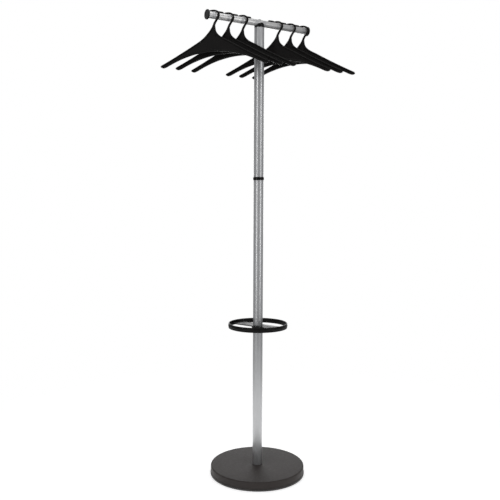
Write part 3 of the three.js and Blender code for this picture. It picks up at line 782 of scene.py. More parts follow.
@dataclass
class WeightedBase(Assembly):
    """The round base: pressed cover, moulded tray, cast weight, pads and the bolt from below.

    Attributes:
        edge_radius: Round of the cover's top edge, in millimetres.
        wall: Sheet thickness of the cover.
        tray_wall: Wall of the tray.
        tray_lip: How far the tray stands out past the cover.
        lip_round: Round of the lip's edges.
        cover_hole_share: The cover's hole for the bolt, as a share of the bolt head's radius.
        bolt_shank_share: The bolt's shank, as a share of its head's radius.
        thread_pitch: Distance between the bolt's threads.
        thread_depth: Their depth.
        thread_start: Plain part of the shank under the head.
        washer_hole_share: The washer's hole, as a share of its radius.
        pad_groove: Depth of the grooves under a pad.
        pad_groove_half: Half the width of a groove's bottom.
        facets: Facets round the base.
        pads: The pads' frame nodes.
    """

    edge_radius: float = 4.5
    wall: float = 2.0
    tray_wall: float = 2.0
    tray_lip: float = 1.6
    lip_round: float = 0.9
    cover_hole_share: float = 0.56
    bolt_shank_share: float = 5 / 9.5
    thread_pitch: float = 1.5
    thread_depth: float = 0.55
    thread_start: float = 16.0
    washer_hole_share: float = 5.3 / 15
    pad_groove: float = 0.5
    pad_groove_half: float = 0.4
    facets: int = 192
    pads: tuple[str, ...] = tuple(f"foot_pad_{i}" for i in range(1, 6))

    def build(self) -> None:
        """Builds and dresses every piece of the base."""
        self.fit("base_cover_shell", self.cover(), CHARCOAL_STEEL, "base_cover")
        self.fit("base_tray_moulding", self.tray(), CHARCOAL_TRAY, "base_tray")
        for node in self.pads:
            self.fit(node + "_moulding", self.pad(node), PAD_RUBBER, node)
        self.fit("base_bolt_hex", self.bolt(), ZINC, "base_bolt")
        self.fit("base_washer_plate", self.washer(), ZINC, "base_washer")
        self.dress_node("base_ballast", CAST_IRON)
        self.dress_node("foot_insert", TURNED_STEEL)

    def cover(self) -> BMesh:
        """Returns the pressed cover: flat top, rounded edge, straight skirt and an even wall.

        Returns:
            The mesh, in metres and in place.
        """
        box = NodeBox.of("base_cover")
        radius, low, top = box.size.x / 2, box.low.z, box.high.z
        hole = NodeBox.of("base_bolt").size.x / 2 * self.cover_hole_share
        inner = self.edge_radius - self.wall
        return turned(eased([
            (hole, top, 0.3),
            (radius, top, self.edge_radius),
            (radius, low, 0.5),
            (radius - self.wall, low, 0.5),
            (radius - self.wall, top - self.wall, inner),
            (hole, top - self.wall, 0.3),
        ], 8), steps=self.facets)

    def tray(self) -> BMesh:
        """Returns the tray with its stepped lip under the cover.

        Returns:
            The mesh, in metres and in place.
        """
        box = NodeBox.of("base_tray")
        radius, low, top = box.size.x / 2, box.low.z, box.high.z
        inside = radius - self.tray_lip - self.tray_wall
        hole = NodeBox.of("base_washer").size.x / 2 + 2
        floor = low + self.tray_wall
        return turned(eased([
            (hole, low, 0.5),
            (radius, low, self.lip_round),
            (radius, top, self.lip_round),
            (inside, top, 0.5),
            (inside, floor, 0.8),
            (hole, floor, 0.5),
        ], 5), steps=self.facets)

    def pad(self, node: str) -> BMesh:
        """Returns one pad, grooved underneath, with a rounded foot.

        Args:
            node: The pad's frame node.

        Returns:
            The mesh, in metres and in place.
        """
        box = NodeBox.of(node)
        radius, height, groove, half = box.size.x / 2, box.size.z, self.pad_groove, self.pad_groove_half
        mouth = half + 0.3
        sole: list[tuple[float, float, float]] = [(0, 0, 0)]
        for share in (1.5, 3.5, 5.5):
            middle = radius / 7 * share
            sole += [(middle - mouth, 0, 0.15), (middle - half, groove, 0.15),
                     (middle + half, groove, 0.15), (middle + mouth, 0, 0.15)]
        sole += [(radius, 0, 0.6), (radius, height, 0.4), (0, height, 0)]
        return moved(turned(eased(sole, 3), steps=48), at_mm(box.middle.x, box.middle.y, box.low.z))

    def bolt(self) -> BMesh:
        """Returns the hexagon bolt with its chamfered head and thread.

        Returns:
            The mesh, in metres and in place.
        """
        box = NodeBox.of("base_bolt")
        washer = NodeBox.of("base_washer")
        head_top = washer.low.z - (washer.low.z - box.low.z) * 0.06
        shank = box.size.x / 2 * self.bolt_shank_share
        head = soften(hexagon(box.size.x / 2, box.low.z, head_top), 0.6, 40, 2)
        outline: list[Point] = [(0, head_top - 1), (shank, head_top - 1)]
        place = head_top + self.thread_start
        while place < box.high.z - 2:
            outline += [(shank, place), (shank - self.thread_depth, place + self.thread_pitch / 2)]
            place += self.thread_pitch
        outline += [(shank - 1, box.high.z), (0, box.high.z)]
        return worked(head, [(Cut.JOIN, turned(outline, steps=32))])

    def washer(self) -> BMesh:
        """Returns the flat washer under the cast weight.

        Returns:
            The mesh, in metres and in place.
        """
        box = NodeBox.of("base_washer")
        radius = box.size.x / 2
        hole = radius * self.washer_hole_share
        return turned(eased([(hole, box.low.z, 0.3), (radius, box.low.z, 0.4), (radius, box.high.z, 0.4),
                             (hole, box.high.z, 0.3)], 2), steps=64)


# ---------------------------------------------------------------- column


@dataclass
class Column(Assembly):
    """The two column tubes, the collar over their joint, the saddle and the screw through the bar.

    Attributes:
        tube_wall: Wall of the tubes in millimetres.
        ease: Round of the tubes' cut ends.
        ledge: Thickness of the collar's inner ledge.
        running_gap: Gap between a tube and what slides over or into it.
        saddle_ease: Round of the saddle's edges.
        seat: Height of the straight rim under the bar.
        screw_radius: Radius of the screw through the bar.
        screw_head: Height of its domed head.
        screw_socket: Corner radius of the head's hexagon socket.
        socket_depth: Depth of that socket.
        facets: Facets round the column.
    """

    tube_wall: float = 1.5
    ease: float = 0.35
    ledge: float = 1.5
    running_gap: float = 0.3
    saddle_ease: float = 0.7
    seat: float = 5.0
    screw_radius: float = 4.0
    screw_head: float = 1.7
    screw_socket: float = 2.9
    socket_depth: float = 1.4
    facets: int = 96

    def build(self) -> None:
        """Builds and dresses every piece of the column."""
        for node in ("lower_tube", "upper_tube"):
            self.fit(node + "_coated", self.tube(node), SILVER_COLUMN, node)
        self.fit("joint_collar", self.collar(), COLLAR_PLASTIC, "joint_ring")
        self.fit("saddle_moulding", self.saddle(), COLLAR_PLASTIC, "bar_saddle", smooth_deg=30)
        self.fit("top_screw_domed", self.top_screw(), ZINC, "top_screw")
        for node in ("lower_joint_insert", "upper_joint_insert", "top_insert"):
            self.dress_node(node, TURNED_STEEL)
        self.dress_node("joint_stud", ZINC)

    def tube(self, node: str) -> BMesh:
        """Returns one column tube with eased ends.

        Args:
            node: The tube's frame node.

        Returns:
            The mesh, in metres and in place.
        """
        box = NodeBox.of(node)
        outer = box.size.x / 2
        return pipe(outer - self.tube_wall, outer, box.low.z, box.high.z, self.ease)

    def collar(self) -> BMesh:
        """Returns the collar: a sleeve over both tube ends with a ledge between them.

        Returns:
            The mesh, in metres and in place.
        """
        box = NodeBox.of("joint_ring")
        tube = NodeBox.of("lower_tube")
        outer, sleeve = box.size.x / 2, tube.size.x / 2 + self.running_gap
        bore = tube.size.x / 2 - self.tube_wall
        middle, half = box.middle.z, self.ledge / 2
        return turned(eased([
            (sleeve, box.low.z, 0.3), (outer, box.low.z, 0.9), (outer, box.high.z, 0.9), (sleeve, box.high.z, 0.3),
            (sleeve, middle + half, 0), (bore, middle + half, 0.2), (bore, middle - half, 0.2),
            (sleeve, middle - half, 0),
        ], 4), steps=self.facets)

    def saddle(self) -> BMesh:
        """Returns the saddle: a plug in the tube, a rim and two arched lobes that cup the bar.

        Returns:
            The mesh, in metres and in place.
        """
        box, bar, tube = NodeBox.of("bar_saddle"), NodeBox.of("cross_bar"), NodeBox.of("upper_tube")
        outer, plug = box.size.x / 2, tube.size.x / 2 - self.tube_wall - self.running_gap
        rim_low = tube.high.z + self.running_gap
        bar_radius, axis = bar.size.z / 2, bar.middle.z
        blank = turned(eased([(0, box.low.z, 0), (plug, box.low.z, 0.6), (plug, rim_low, 0), (outer, rim_low, 0.4),
                              (outer, box.high.z, 0), (0, box.high.z, 0)], 4), steps=self.facets)
        reach = 2 * outer
        across = at_mm(0, 0, box.high.z - outer) @ Matrix.Rotation(math.pi / 2, 4, "X")
        arch = moved(rod(outer, -reach, reach), across)
        skirt = rod(reach, box.low.z - 1, rim_low + self.seat, steps=24)
        bed = moved(rod(bar_radius + self.running_gap, -reach, reach, Axis.X), at_mm(0, 0, axis))
        way = rod(self.screw_radius + self.running_gap, box.low.z - 1, axis, steps=32)
        body = worked(blank, [(Cut.COMMON, worked(arch, [(Cut.JOIN, skirt)])), (Cut.REMOVE, bed), (Cut.REMOVE, way)])
        return soften(body, self.saddle_ease, 30, 3, lambda e: e.verts[0].co.z > (rim_low + 1) * MM)

    def top_screw(self) -> BMesh:
        """Returns the screw through the bar: a domed head with a hexagon socket.

        Returns:
            The mesh, in metres and in place.
        """
        box, bar = NodeBox.of("top_screw"), NodeBox.of("cross_bar")
        head_low = bar.high.z + self.running_gap
        radius, top = box.size.x / 2, min(box.high.z, head_low + self.screw_head)
        height = top - head_low
        dome_radius = (radius * radius + height * height) / (2 * height)
        spread_deg = math.degrees(math.asin(min(1.0, (radius - 0.3) / dome_radius)))
        dome = arc((0, top - dome_radius), dome_radius, 90, 90 - spread_deg, 8)
        profile = [(0, box.low.z), (self.screw_radius - 0.8, box.low.z), (self.screw_radius, box.low.z + 1),
                   (self.screw_radius, head_low), (radius, head_low), *reversed(dome)]
        socket = hexagon(self.screw_socket, top - self.socket_depth, top + 1)
        return worked(turned(profile, steps=48), [(Cut.REMOVE, socket)])


# ---------------------------------------------------------------- crossbar


@dataclass
class Crossbar(Assembly):
    """The bar that the hangers hook over, its end caps and the spacers on top of it.

    Attributes:
        wall: Wall of the bar's tube in millimetres.
        ease: Round of its cut ends.
        gap: Gap between the bar and what sits on it.
        cap_round: Round of a cap's rim.
        cap_dish: Depth of the hollow in a cap's face.
        cap_rim: Width of the rim round that hollow.
        dish_slope: Width of the slope from the rim into it.
        plug_wall: Wall of the cap's plug in the bar.
        spacer_half_deg: Half the angle of the bar that a spacer covers.
        spacer_round: Round of a spacer's ends.
        peg_radius: Radius of the spacer's peg in the bar.
        facets: Facets round the bar.
        spacers: The spacers' frame nodes.
    """

    wall: float = 1.5
    ease: float = 0.35
    gap: float = 0.3
    cap_round: float = 2.2
    cap_dish: float = 1.2
    cap_rim: float = 2.2
    dish_slope: float = 1.7
    plug_wall: float = 2.0
    spacer_half_deg: float = 26.0
    spacer_round: float = 4.6
    peg_radius: float = 2.3
    facets: int = 96
    spacers: tuple[str, ...] = tuple(f"bar_spacer_{i}" for i in range(1, 7))

    def build(self) -> None:
        """Builds and dresses the bar, its caps and its spacers."""
        self.fit("crossbar_coated", self.bar(), SILVER_BAR, "cross_bar")
        for side in Side:
            node = f"end_cap_{side.name.lower()}"
            self.fit(node + "_moulding", self.cap(node, side), CAP_PLASTIC, node)
        for node in self.spacers:
            self.fit(node + "_moulding", self.spacer(node), SPACER_PLASTIC, node)

    def bar(self) -> BMesh:
        """Returns the bar's tube.

        Returns:
            The mesh, in metres and in place.
        """
        box = NodeBox.of("cross_bar")
        outer, half = box.size.z / 2, box.size.x / 2
        blank = pipe(outer - self.wall, outer, -half, half, self.ease, Axis.X)
        return moved(blank, at_mm(box.middle.x, 0, box.middle.z))

    def cap(self, node: str, side: Side) -> BMesh:
        """Returns an end cap: round rim, dished face, and a hollow plug in the bar.

        Args:
            node: The cap's frame node.
            side: The end that it closes.

        Returns:
            The mesh, in metres and in place.
        """
        box, bar = NodeBox.of(node), NodeBox.of("cross_bar")
        radius = box.size.z / 2
        bar_end = bar.high.x if side is Side.RIGHT else -bar.low.x
        front = (box.high.x if side is Side.RIGHT else -box.low.x) - bar_end
        back = self.gap
        plug = bar.size.z / 2 - self.wall - self.gap
        bore = plug - self.plug_wall
        plug_end = front - box.size.x
        rim = radius - self.cap_round - self.cap_rim
        profile = eased([
            (0, back + 1, 0), (bore, back + 1, 0.6), (bore, plug_end, 0.4), (plug, plug_end, 0.9), (plug, back, 0.2),
            (radius, back, 0.8), (radius, front, self.cap_round), (rim, front, 0.9),
            (rim - self.dish_slope, front - self.cap_dish, 1.1), (0, front - self.cap_dish, 0),
        ], 5)
        turn = Matrix.Identity(4) if side is Side.RIGHT else Matrix.Rotation(math.pi, 4, "Z")
        blank = moved(turned(profile, Axis.X, self.facets), at_mm(bar_end, 0, 0))
        return moved(moved(blank, turn), at_mm(0, 0, bar.middle.z))

    def spacer(self, node: str) -> BMesh:
        """Returns a spacer: a block bent over the bar's top, with round ends and a peg in the bar.

        Args:
            node: The spacer's frame node.

        Returns:
            The mesh, in metres and in place.
        """
        box, bar = NodeBox.of(node), NodeBox.of("cross_bar")
        half = box.size.x / 2
        inner = bar.size.z / 2 + self.gap
        outer = box.high.z - bar.middle.z
        side_view = eased([(-half, inner, 0.4), (half, inner, 0.4), (half, outer, self.spacer_round),
                           (-half, outer, self.spacer_round)], 7)
        bm = bmesh.new()
        edges = closed_wire(bm, [Vector((x, 0, z)) * MM for x, z in side_view])
        bmesh.ops.contextual_create(bm, geom=edges)
        lean = math.radians(self.spacer_half_deg)
        bmesh.ops.rotate(bm, verts=bm.verts, cent=(0, 0, 0), matrix=Matrix.Rotation(-lean, 3, "X"))
        bmesh.ops.spin(bm, geom=bm.verts[:] + bm.edges[:] + bm.faces[:], axis=(1, 0, 0), cent=(0, 0, 0),
                       angle=2 * lean, steps=16, use_merge=False, use_normal_flip=False, use_duplicate=False)
        block = soften(cleaned(bm), 0.9, 50)
        peg_end = box.low.z - bar.middle.z
        peg = turned(eased([(0, peg_end, 0), (self.peg_radius, peg_end, 0.4), (self.peg_radius, inner + 1, 0),
                            (0, inner + 1, 0)], 3), steps=24)
        return moved(worked(block, [(Cut.JOIN, peg)]), at_mm(box.middle.x, 0, bar.middle.z))


# ---------------------------------------------------------------- hangers


@dataclass(frozen=True)
class Flare:
    """How a hanger's neck runs out into one shoulder, as pulls on the curve in millimetres.

    Attributes:
        out: Pull outwards at the neck.
        down: Pull downwards at the neck.
        back: Pull towards the neck at the shoulder.
        up: Pull upwards at the shoulder.
    """

    out: float
    down: float
    back: float
    up: float


@dataclass
class Hanger(Assembly):
    """One moulded hanger: a thin web inside a raised rim, and a hook that grows out of its neck.

    Sizes are in millimetres. Across is measured from the body's middle and heights from the bar's
    axis, so they are negative under it.

    Attributes:
        number: The hanger's number, counted from the left.
        yaw_deg: Its direction from the bar, seen from above.
        offset: The body's middle from the hook's middle.
        half_span: From the middle to a tip.
        neck: Height of the neck, where the hook begins.
        neck_half: Half its width.
        neck_shift: The neck's middle from the body's middle.
        stem_side: How the neck runs out on the side of the hook's stem.
        open_side: How it runs out under the hook's open end.
        shoulder_run: From the middle to where the straight shoulder starts.
        shoulder: Height of the shoulder there.
        tip: Height of the shoulder near the tip.
        tip_radius: Round of a tip.
        tip_sink: Centre of that round under the tip's top.
        nose_length: Length over which the lower edge rises to the tip.
        crown: How far the shoulder's middle bows up, or under zero, sags.
        arch: Height of the lower edge in the middle.
        arch_drop: How far it falls to the tips.
        rim_steps: Distance from the edge and half thickness of each row across the rim.
        web_half: Half the web's thickness.
        web_rows: Rows of faces across the web.
        filled_depth: Depth of the body under which the web is as thick as the rim.
        filled_run: Depth over which it thins to the web.
        steepest: Limit on how much a sloping edge widens its rim.
        thin_run: Height under the neck over which the body thins to the hook.
        hook_half_width: Half the width of the hook's middle line.
        hook_height: Height of that line over the bar's axis.
        hook_power: How square the line is, where 2 is an ellipse.
        hook_width: Width of the hook's section.
        hook_thickness: Its thickness.
        hook_start_deg: Where the stem runs into the hook.
        hook_end_deg: Where the hook ends.
        hook_sweep: How far the hook carries on before it bends to the neck.
        stem_pull: Pull on the stem at the neck, outwards and upwards.
    """

    number: int
    yaw_deg: float
    offset: float = 3.5
    half_span: float = 208.6
    neck: float = -36.0
    neck_half: float = 4.8
    neck_shift: float = 1.0
    stem_side: Flare = Flare(0.0, 24.0, 40.0, 19.0)
    open_side: Flare = Flare(4.6, 14.0, 25.0, 17.0)
    shoulder_run: float = 52.0
    shoulder: float = -90.6
    tip: float = -172.5
    tip_radius: float = 7.0
    tip_sink: float = 4.9
    nose_length: float = 26.0
    crown: float = -3.6
    arch: float = -130.4
    arch_drop: float = 57.0
    rim_steps: tuple[Point, ...] = ((0.0, 3.3), (0.7, 4.6), (1.9, 5.4), (4.3, 5.5), (5.3, 5.0), (6.0, 3.1), (6.8, 2.6))
    web_half: float = 2.5
    web_rows: int = 4
    filled_depth: float = 9.0
    filled_run: float = 8.0
    steepest: float = 4.5
    thin_run: float = 26.0
    hook_half_width: float = 23.73
    hook_height: float = 16.6
    hook_power: float = 2.2
    hook_width: float = 7.2
    hook_thickness: float = 5.0
    hook_start_deg: float = -24.0
    hook_end_deg: float = 190.0
    hook_sweep: float = 12.0
    stem_pull: Point = (3.4, 10.0)

    def build(self) -> None:
        """Builds, places and dresses the hanger."""
        node = f"hanger_{self.number}"
        joint = next(j for j in frame["joints"] if j["child"] == f"{node}_body")
        bm = self.body_shell()
        self.grow_hook(bm)
        cleaned(bm)
        turn = Matrix.Rotation(math.radians(self.yaw_deg), 4, "Z")
        moved(bm, Matrix.Translation(Vector(joint["pos_m"])) @ turn)
        self.fit(node + "_moulding", bm, HANGER_PLASTIC, node, f"{node}_body", smooth_deg=60, refine=1)

    @property
    def tip_centre(self) -> Point:
        """Centre of the tip's round end."""
        return self.half_span - self.tip_radius, self.tip - self.tip_sink

    def neck_edge(self, side: float) -> float:
        """Distance from the body's middle to the neck's edge on one side."""
        return self.neck_half + math.copysign(self.neck_shift, side)

    def upper_edge(self, across: float) -> tuple[float, float]:
        """Gives the body's upper edge.

        Args:
            across: Distance from the middle.

        Returns:
            The height and the slope there.
        """
        u, edge = abs(across), self.neck_edge(across)
        if u <= edge + 1e-9:
            return self.neck, 0.0
        if u < self.shoulder_run:
            pull = self.stem_side if across > 0 else self.open_side
            curve = (Vector((edge, self.neck)), Vector((edge + pull.out, self.neck - pull.down)),
                     Vector((self.shoulder_run - pull.back, self.shoulder + pull.up)),
                     Vector((self.shoulder_run, self.shoulder)))
            low, high = 0.0, 1.0
            for _ in range(40):
                t = (low + high) / 2
                low, high = (t, high) if bezier(curve, t).x < u else (low, t)
            step = bezier(curve, min(t + 0.01, 1.0)) - bezier(curve, max(t - 0.01, 0.0))
            return bezier(curve, t).y, step.y / max(step.x, 1e-6)
        centre_u, centre_z = self.tip_centre
        slope = (self.tip - self.shoulder) / (centre_u - self.shoulder_run)
        lean = math.atan(-slope)
        top_u = centre_u + self.tip_radius * math.sin(lean)
        top_z = centre_z + self.tip_radius * math.cos(lean)
        if u <= top_u:
            t = (u - self.shoulder_run) / (top_u - self.shoulder_run)
            straight = self.shoulder + (top_z - self.shoulder) * t
            return straight + 2 * self.crown * t * (1 - t), slope
        off = min(u - centre_u, self.tip_radius)
        return centre_z + math.sqrt(self.tip_radius**2 - off**2), slope

    def lower_edge(self, across: float) -> float:
        """Gives the height of the body's arched lower edge.

        Args:
            across: Distance from the middle.

        Returns:
            The height.
        """
        u, nose = abs(across), self.half_span - self.nose_length
        inner = min(u, nose)
        arched = self.arch - self.arch_drop * (inner / self.tip_centre[0]) ** 2
        if u <= nose:
            return arched
        depth = self.upper_edge(nose)[0] - arched
        share = min((u - nose) / self.nose_length, 1.0)
        return self.upper_edge(u)[0] - depth * math.sqrt(1 - share**2.4)

    def columns(self) -> list[float]:
        """Returns where the body's columns of faces stand, from tip to tip.

        Returns:
            Distances from the middle, in rising order.
        """
        flare, shoulder, tip = 18, 20, 10
        tip_start = self.half_span - 2 * self.tip_radius
        both = []
        for side in (-1, 1):
            edge = self.neck_edge(side)
            half = [edge / 3, edge]
            half += [edge + (self.shoulder_run - edge) * (i / flare) ** 1.8 for i in range(1, flare + 1)]
            half += [self.shoulder_run + (tip_start - self.shoulder_run) * i / shoulder for i in range(1, shoulder + 1)]
            half += [tip_start + 2 * self.tip_radius * math.sin(math.pi / 2 * i / tip) for i in range(1, tip + 1)]
            both += [side * u for u in half]
        return sorted(both)

    def row(self, across: float, row: int, rows: int) -> Point:
        """Gives the height and half thickness of one point of the body's front.

        Args:
            across: Distance from the middle.
            row: The row, counted from the lower edge.
            rows: The last row's number.

        Returns:
            The height and the half thickness.
        """
        (top, slope), bottom = self.upper_edge(across), self.lower_edge(across)
        depth = max(top - bottom, 0.0)
        stretch = min(math.hypot(1, slope), self.steepest)
        rim = self.rim_steps[-1][0]
        room = min(1.0, 0.86 * depth / max(rim * (1 + stretch), 1e-6))
        steps = len(self.rim_steps)
        # Near a tip the web fills up to the rim, and near the neck the whole body thins to the hook.
        filled = 1 - min(max((depth - self.filled_depth) / self.filled_run, 0.0), 1.0)
        full = max(h for _, h in self.rim_steps)
        if row < steps:
            away, half = self.rim_steps[row]
            height = bottom + away * room
            inner = row > 3
        elif row > rows - steps:
            away, half = self.rim_steps[rows - row]
            height = top - away * stretch * room
            inner = rows - row > 3
        else:
            low = bottom + rim * room
            high = top - rim * stretch * room
            height = low + (high - low) * (row - steps + 1) / (rows - 2 * steps + 2)
            half, inner = self.web_half, True
        if inner:
            half += (full - half) * filled
        thin = min(max((height - self.neck) / self.thin_run + 1, 0.0), 1.0)
        eased_thin = thin * thin * (3 - 2 * thin)
        return height, half + (min(half, self.hook_thickness / 2) - half) * eased_thin

    def body_shell(self) -> BMesh:
        """Returns the body, open at the neck where the hook grows on.

        Returns:
            The mesh, in metres, round the joint's place.
        """
        columns = self.columns()
        rows = 2 * len(self.rim_steps) + self.web_rows - 1
        bm = bmesh.new()
        bmesh.ops.create_grid(bm, x_segments=len(columns) - 1, y_segments=rows, size=1.0)
        for vert in bm.verts:
            column = round((vert.co.x + 1) / 2 * (len(columns) - 1))
            row = round((vert.co.y + 1) / 2 * rows)
            across = columns[column]
            height, half = self.row(across, row, rows)
            vert.co = Vector((across + self.offset, -half, height)) * MM
        bmesh.ops.remove_doubles(bm, verts=bm.verts, dist=1e-6)
        front = bm.verts[:] + bm.edges[:] + bm.faces[:]
        copy = bmesh.ops.duplicate(bm, geom=front)["geom"]
        bmesh.ops.scale(bm, vec=(1, -1, 1), verts=[g for g in copy if isinstance(g, BMVert)])
        bmesh.ops.bridge_loops(bm, edges=[e for e in bm.edges if e.is_boundary])
        neck = (self.neck - 0.01) * MM
        top = [f for f in bm.faces if all(v.co.z > neck for v in f.verts)]
        bmesh.ops.delete(bm, geom=top, context="FACES_ONLY")
        return bm

    def hook_frames(self) -> list[tuple[Vector, Vector, float]]:
        """Returns the hook's line from the neck up: place, direction and scale of its section.

        Returns:
            The sections' places, directions and scales.
        """
        def squared(angle_deg: float) -> Vector:
            """Returns a point of the squared ellipse round the bar.

            Args:
                angle_deg: The point's direction from the bar's axis.

            Returns:
                The point, in millimetres.
            """
            c, s = math.cos(math.radians(angle_deg)), math.sin(math.radians(angle_deg))
            power = self.hook_power
            reach = abs(c / self.hook_half_width) ** power + abs(s / self.hook_height) ** power
            return Vector((c, 0, s)) * reach ** (-1 / power)

        start = Vector((self.offset + self.neck_shift, 0, self.neck))
        end = squared(self.hook_start_deg)
        heading = (end - squared(self.hook_start_deg + 4)).normalized()
        pull = Vector((self.stem_pull[0], 0, self.stem_pull[1]))
        controls = (start, start + pull, end + heading * self.hook_sweep, end)
        stem_steps, hook_steps = 12, 34
        line = [bezier(controls, i / stem_steps) for i in range(1, stem_steps + 1)]
        span = self.hook_end_deg - self.hook_start_deg
        line += [squared(self.hook_start_deg + span * i / hook_steps) for i in range(1, hook_steps + 1)]
        frames = [(start, Vector((0, 0, 1)), 1.0)]
        slim = self.hook_width / (2 * self.neck_half)
        for i, place in enumerate(line):
            behind = line[i - 1] if i else start
            ahead = line[i + 1] if i + 1 < len(line) else place + (place - behind)
            width = 1 + (slim - 1) * min(1.0, i / stem_steps)
            frames.append((place, (ahead - behind).normalized(), width))
        place, direction, width = frames[-1]
        for share in (0.35, 0.7, 0.95):
            reach = self.hook_width / 2 * share
            frames.append((place + direction * reach, direction, width * math.sqrt(1 - share * share)))
        return frames

    def grow_hook(self, bm: BMesh) -> None:
        """Extrudes the hook from the open neck, section by section, and closes its end.

        Args:
            bm: The open body.
        """
        def section(place: Vector, direction: Vector, scale: float) -> Matrix:
            """Returns the matrix that stands a neck section at a place on the hook's line.

            Args:
                place: The section's middle, in millimetres.
                direction: The line's direction there.
                scale: Width of the section against the neck.

            Returns:
                The matrix.
            """
            thick = Vector((0, 1, 0))
            matrix = Matrix((thick.cross(direction) * scale, thick, direction)).transposed().to_4x4()
            matrix.translation = place * MM
            return matrix

        frames = self.hook_frames()
        slim = self.hook_width / (2 * self.neck_half)
        end_sections = 3
        edges = [e for e in bm.edges if e.is_boundary]
        before = section(*frames[0])
        for i, (place, direction, scale) in enumerate(frames[1:], 1):
            grown = bmesh.ops.extrude_edge_only(bm, edges=edges)["geom"]
            edges = [g for g in grown if isinstance(g, BMEdge) and g.is_boundary]
            here = section(place, direction, scale)
            if i >= len(frames) - end_sections:
                here = here @ Matrix.Diagonal((1, scale / slim, 1, 1))
            verts = [g for g in grown if isinstance(g, BMVert)]
            bmesh.ops.transform(bm, matrix=here @ before.inverted(), verts=verts)
            before = here
        bmesh.ops.contextual_create(bm, geom=edges)


# ---------------------------------------------------------------- umbrella holder


@dataclass
class UmbrellaHolder(Assembly):
    """The ring that umbrellas lean in: a crowned band, a flat plate across it, a hub and its screw.

    Attributes:
        body: The body that the ring and its screw ride on.
        band_wall: Thickness of the band in millimetres.
        crown: How far the band's middle swells.
        band_height: Height of the band.
        plate_half: Half the plate's width.
        plate_thickness: Its thickness.
        plate_rise: Its under side above the band's lower edge.
        hub_wall: Wall of the hub round the column.
        fillet: Round where the hub meets the plate's under side.
        gap: Running gap round the column.
        screw_radius: Radius of the clamp screw's shank.
        screw_socket: Corner radius of the hexagon socket in its head.
        socket_depth: Depth of that socket.
        facets: Facets round the band.
    """

    body: str = "umbrella_holder"
    band_wall: float = 5.0
    crown: float = 0.9
    band_height: float = 19.0
    plate_half: float = 28.0
    plate_thickness: float = 3.5
    plate_rise: float = 6.2
    hub_wall: float = 5.0
    fillet: float = 3.0
    gap: float = 0.3
    screw_radius: float = 2.0
    screw_socket: float = 1.8
    socket_depth: float = 1.4
    facets: int = 192

    def build(self) -> None:
        """Builds and dresses the ring and its clamp screw."""
        self.fit("umbrella_ring_moulding", self.ring(), HOLDER_PLASTIC, "umbrella_ring", smooth_deg=34)
        self.fit("clamp_screw_socket_head", self.screw(), ZINC, "clamp_screw")

    @property
    def screw_turn(self) -> Matrix:
        """The turn from +Y to the clamp screw's direction."""
        middle = NodeBox.of("clamp_screw").middle
        return Matrix.Rotation(math.atan2(middle.y, middle.x) - math.pi / 2, 4, "Z")

    def ring(self) -> BMesh:
        """Returns the ring: band, plate and hub in one, with the column's bore through it.

        Returns:
            The mesh, in metres and in place.
        """
        box, tube, screw = NodeBox.of("umbrella_ring"), NodeBox.of("lower_tube"), NodeBox.of("clamp_screw")
        radius, inside = box.size.x / 2, box.size.x / 2 - self.band_wall
        hub_low, high = box.low.z, box.high.z
        low = high - self.band_height
        plate_low = low + self.plate_rise
        plate_high = plate_low + self.plate_thickness
        middle, edge = (low + high) / 2, radius - self.crown
        band = turned(eased([
            (inside, low, 0.8), (edge - 0.4, low, 1.2), (edge, middle - 2.6, 2.0), (radius, middle - 1.1, 0.5),
            (radius, middle + 1.1, 0.5), (edge, middle + 2.6, 2.0), (edge - 0.4, high, 1.2), (inside, high, 0.8),
        ], 5), steps=self.facets)
        reach = radius - self.band_wall / 2
        spread_deg = math.degrees(math.asin(self.plate_half / reach))
        outline = arc((0, 0), reach, -spread_deg, spread_deg, 24)
        outline += arc((0, 0), reach, 180 - spread_deg, 180 + spread_deg, 24)
        plate = soften(slab(outline, plate_low, plate_high), 0.8, 50)
        bore = tube.size.x / 2 + self.gap
        hub_radius = bore + self.hub_wall
        hub = turned(eased([(0, hub_low, 0), (hub_radius, hub_low, 1.2), (hub_radius, plate_low + 1, 0),
                            (0, plate_low + 1, 0)], 4), steps=96)
        fillet_low, fillet_out = plate_low - self.fillet, hub_radius + self.fillet
        web = turned([(0, fillet_low), (hub_radius - 0.5, fillet_low),
                      *arc((fillet_out, fillet_low), self.fillet, 180, 90, 6),
                      (fillet_out, plate_low + 1), (0, plate_low + 1)], steps=96)
        way = rod(bore, hub_low - 5, high + 5)
        hole = rod(self.screw_radius + self.gap, 0, hub_radius + 5, steps=32)
        hole = moved(hole, at_mm(0, 0, screw.middle.z) @ Matrix.Rotation(-math.pi / 2, 4, "X"))
        parts = [(Cut.JOIN, plate), (Cut.JOIN, hub), (Cut.JOIN, web), (Cut.REMOVE, way), (Cut.REMOVE, hole)]
        return moved(worked(band, parts), self.screw_turn)

    def screw(self) -> BMesh:
        """Returns the clamp screw: a socket head and a plain shank.

        Returns:
            The mesh, in metres and in place.
        """
        box, tube = NodeBox.of("clamp_screw"), NodeBox.of("lower_tube")
        head = box.size.z / 2
        reach = math.hypot(box.middle.x, box.middle.y)
        tip = tube.size.x / 2 + self.gap
        front = 2 * reach - tip
        hub = tip + self.hub_wall + self.gap
        profile = eased([(0, tip, 0), (self.screw_radius, tip, 0.3), (self.screw_radius, hub, 0.1), (head, hub, 0.3),
                         (head, front, 0.8), (0, front, 0)], 4)
        socket = hexagon(self.screw_socket, front - self.socket_depth, front + 1)
        blank = worked(turned(profile, steps=48), [(Cut.REMOVE, socket)])
        lie = at_mm(0, 0, box.middle.z) @ Matrix.Rotation(-math.pi / 2, 4, "X")
        return moved(blank, self.screw_turn @ lie)


# ---------------------------------------------------------------- studio


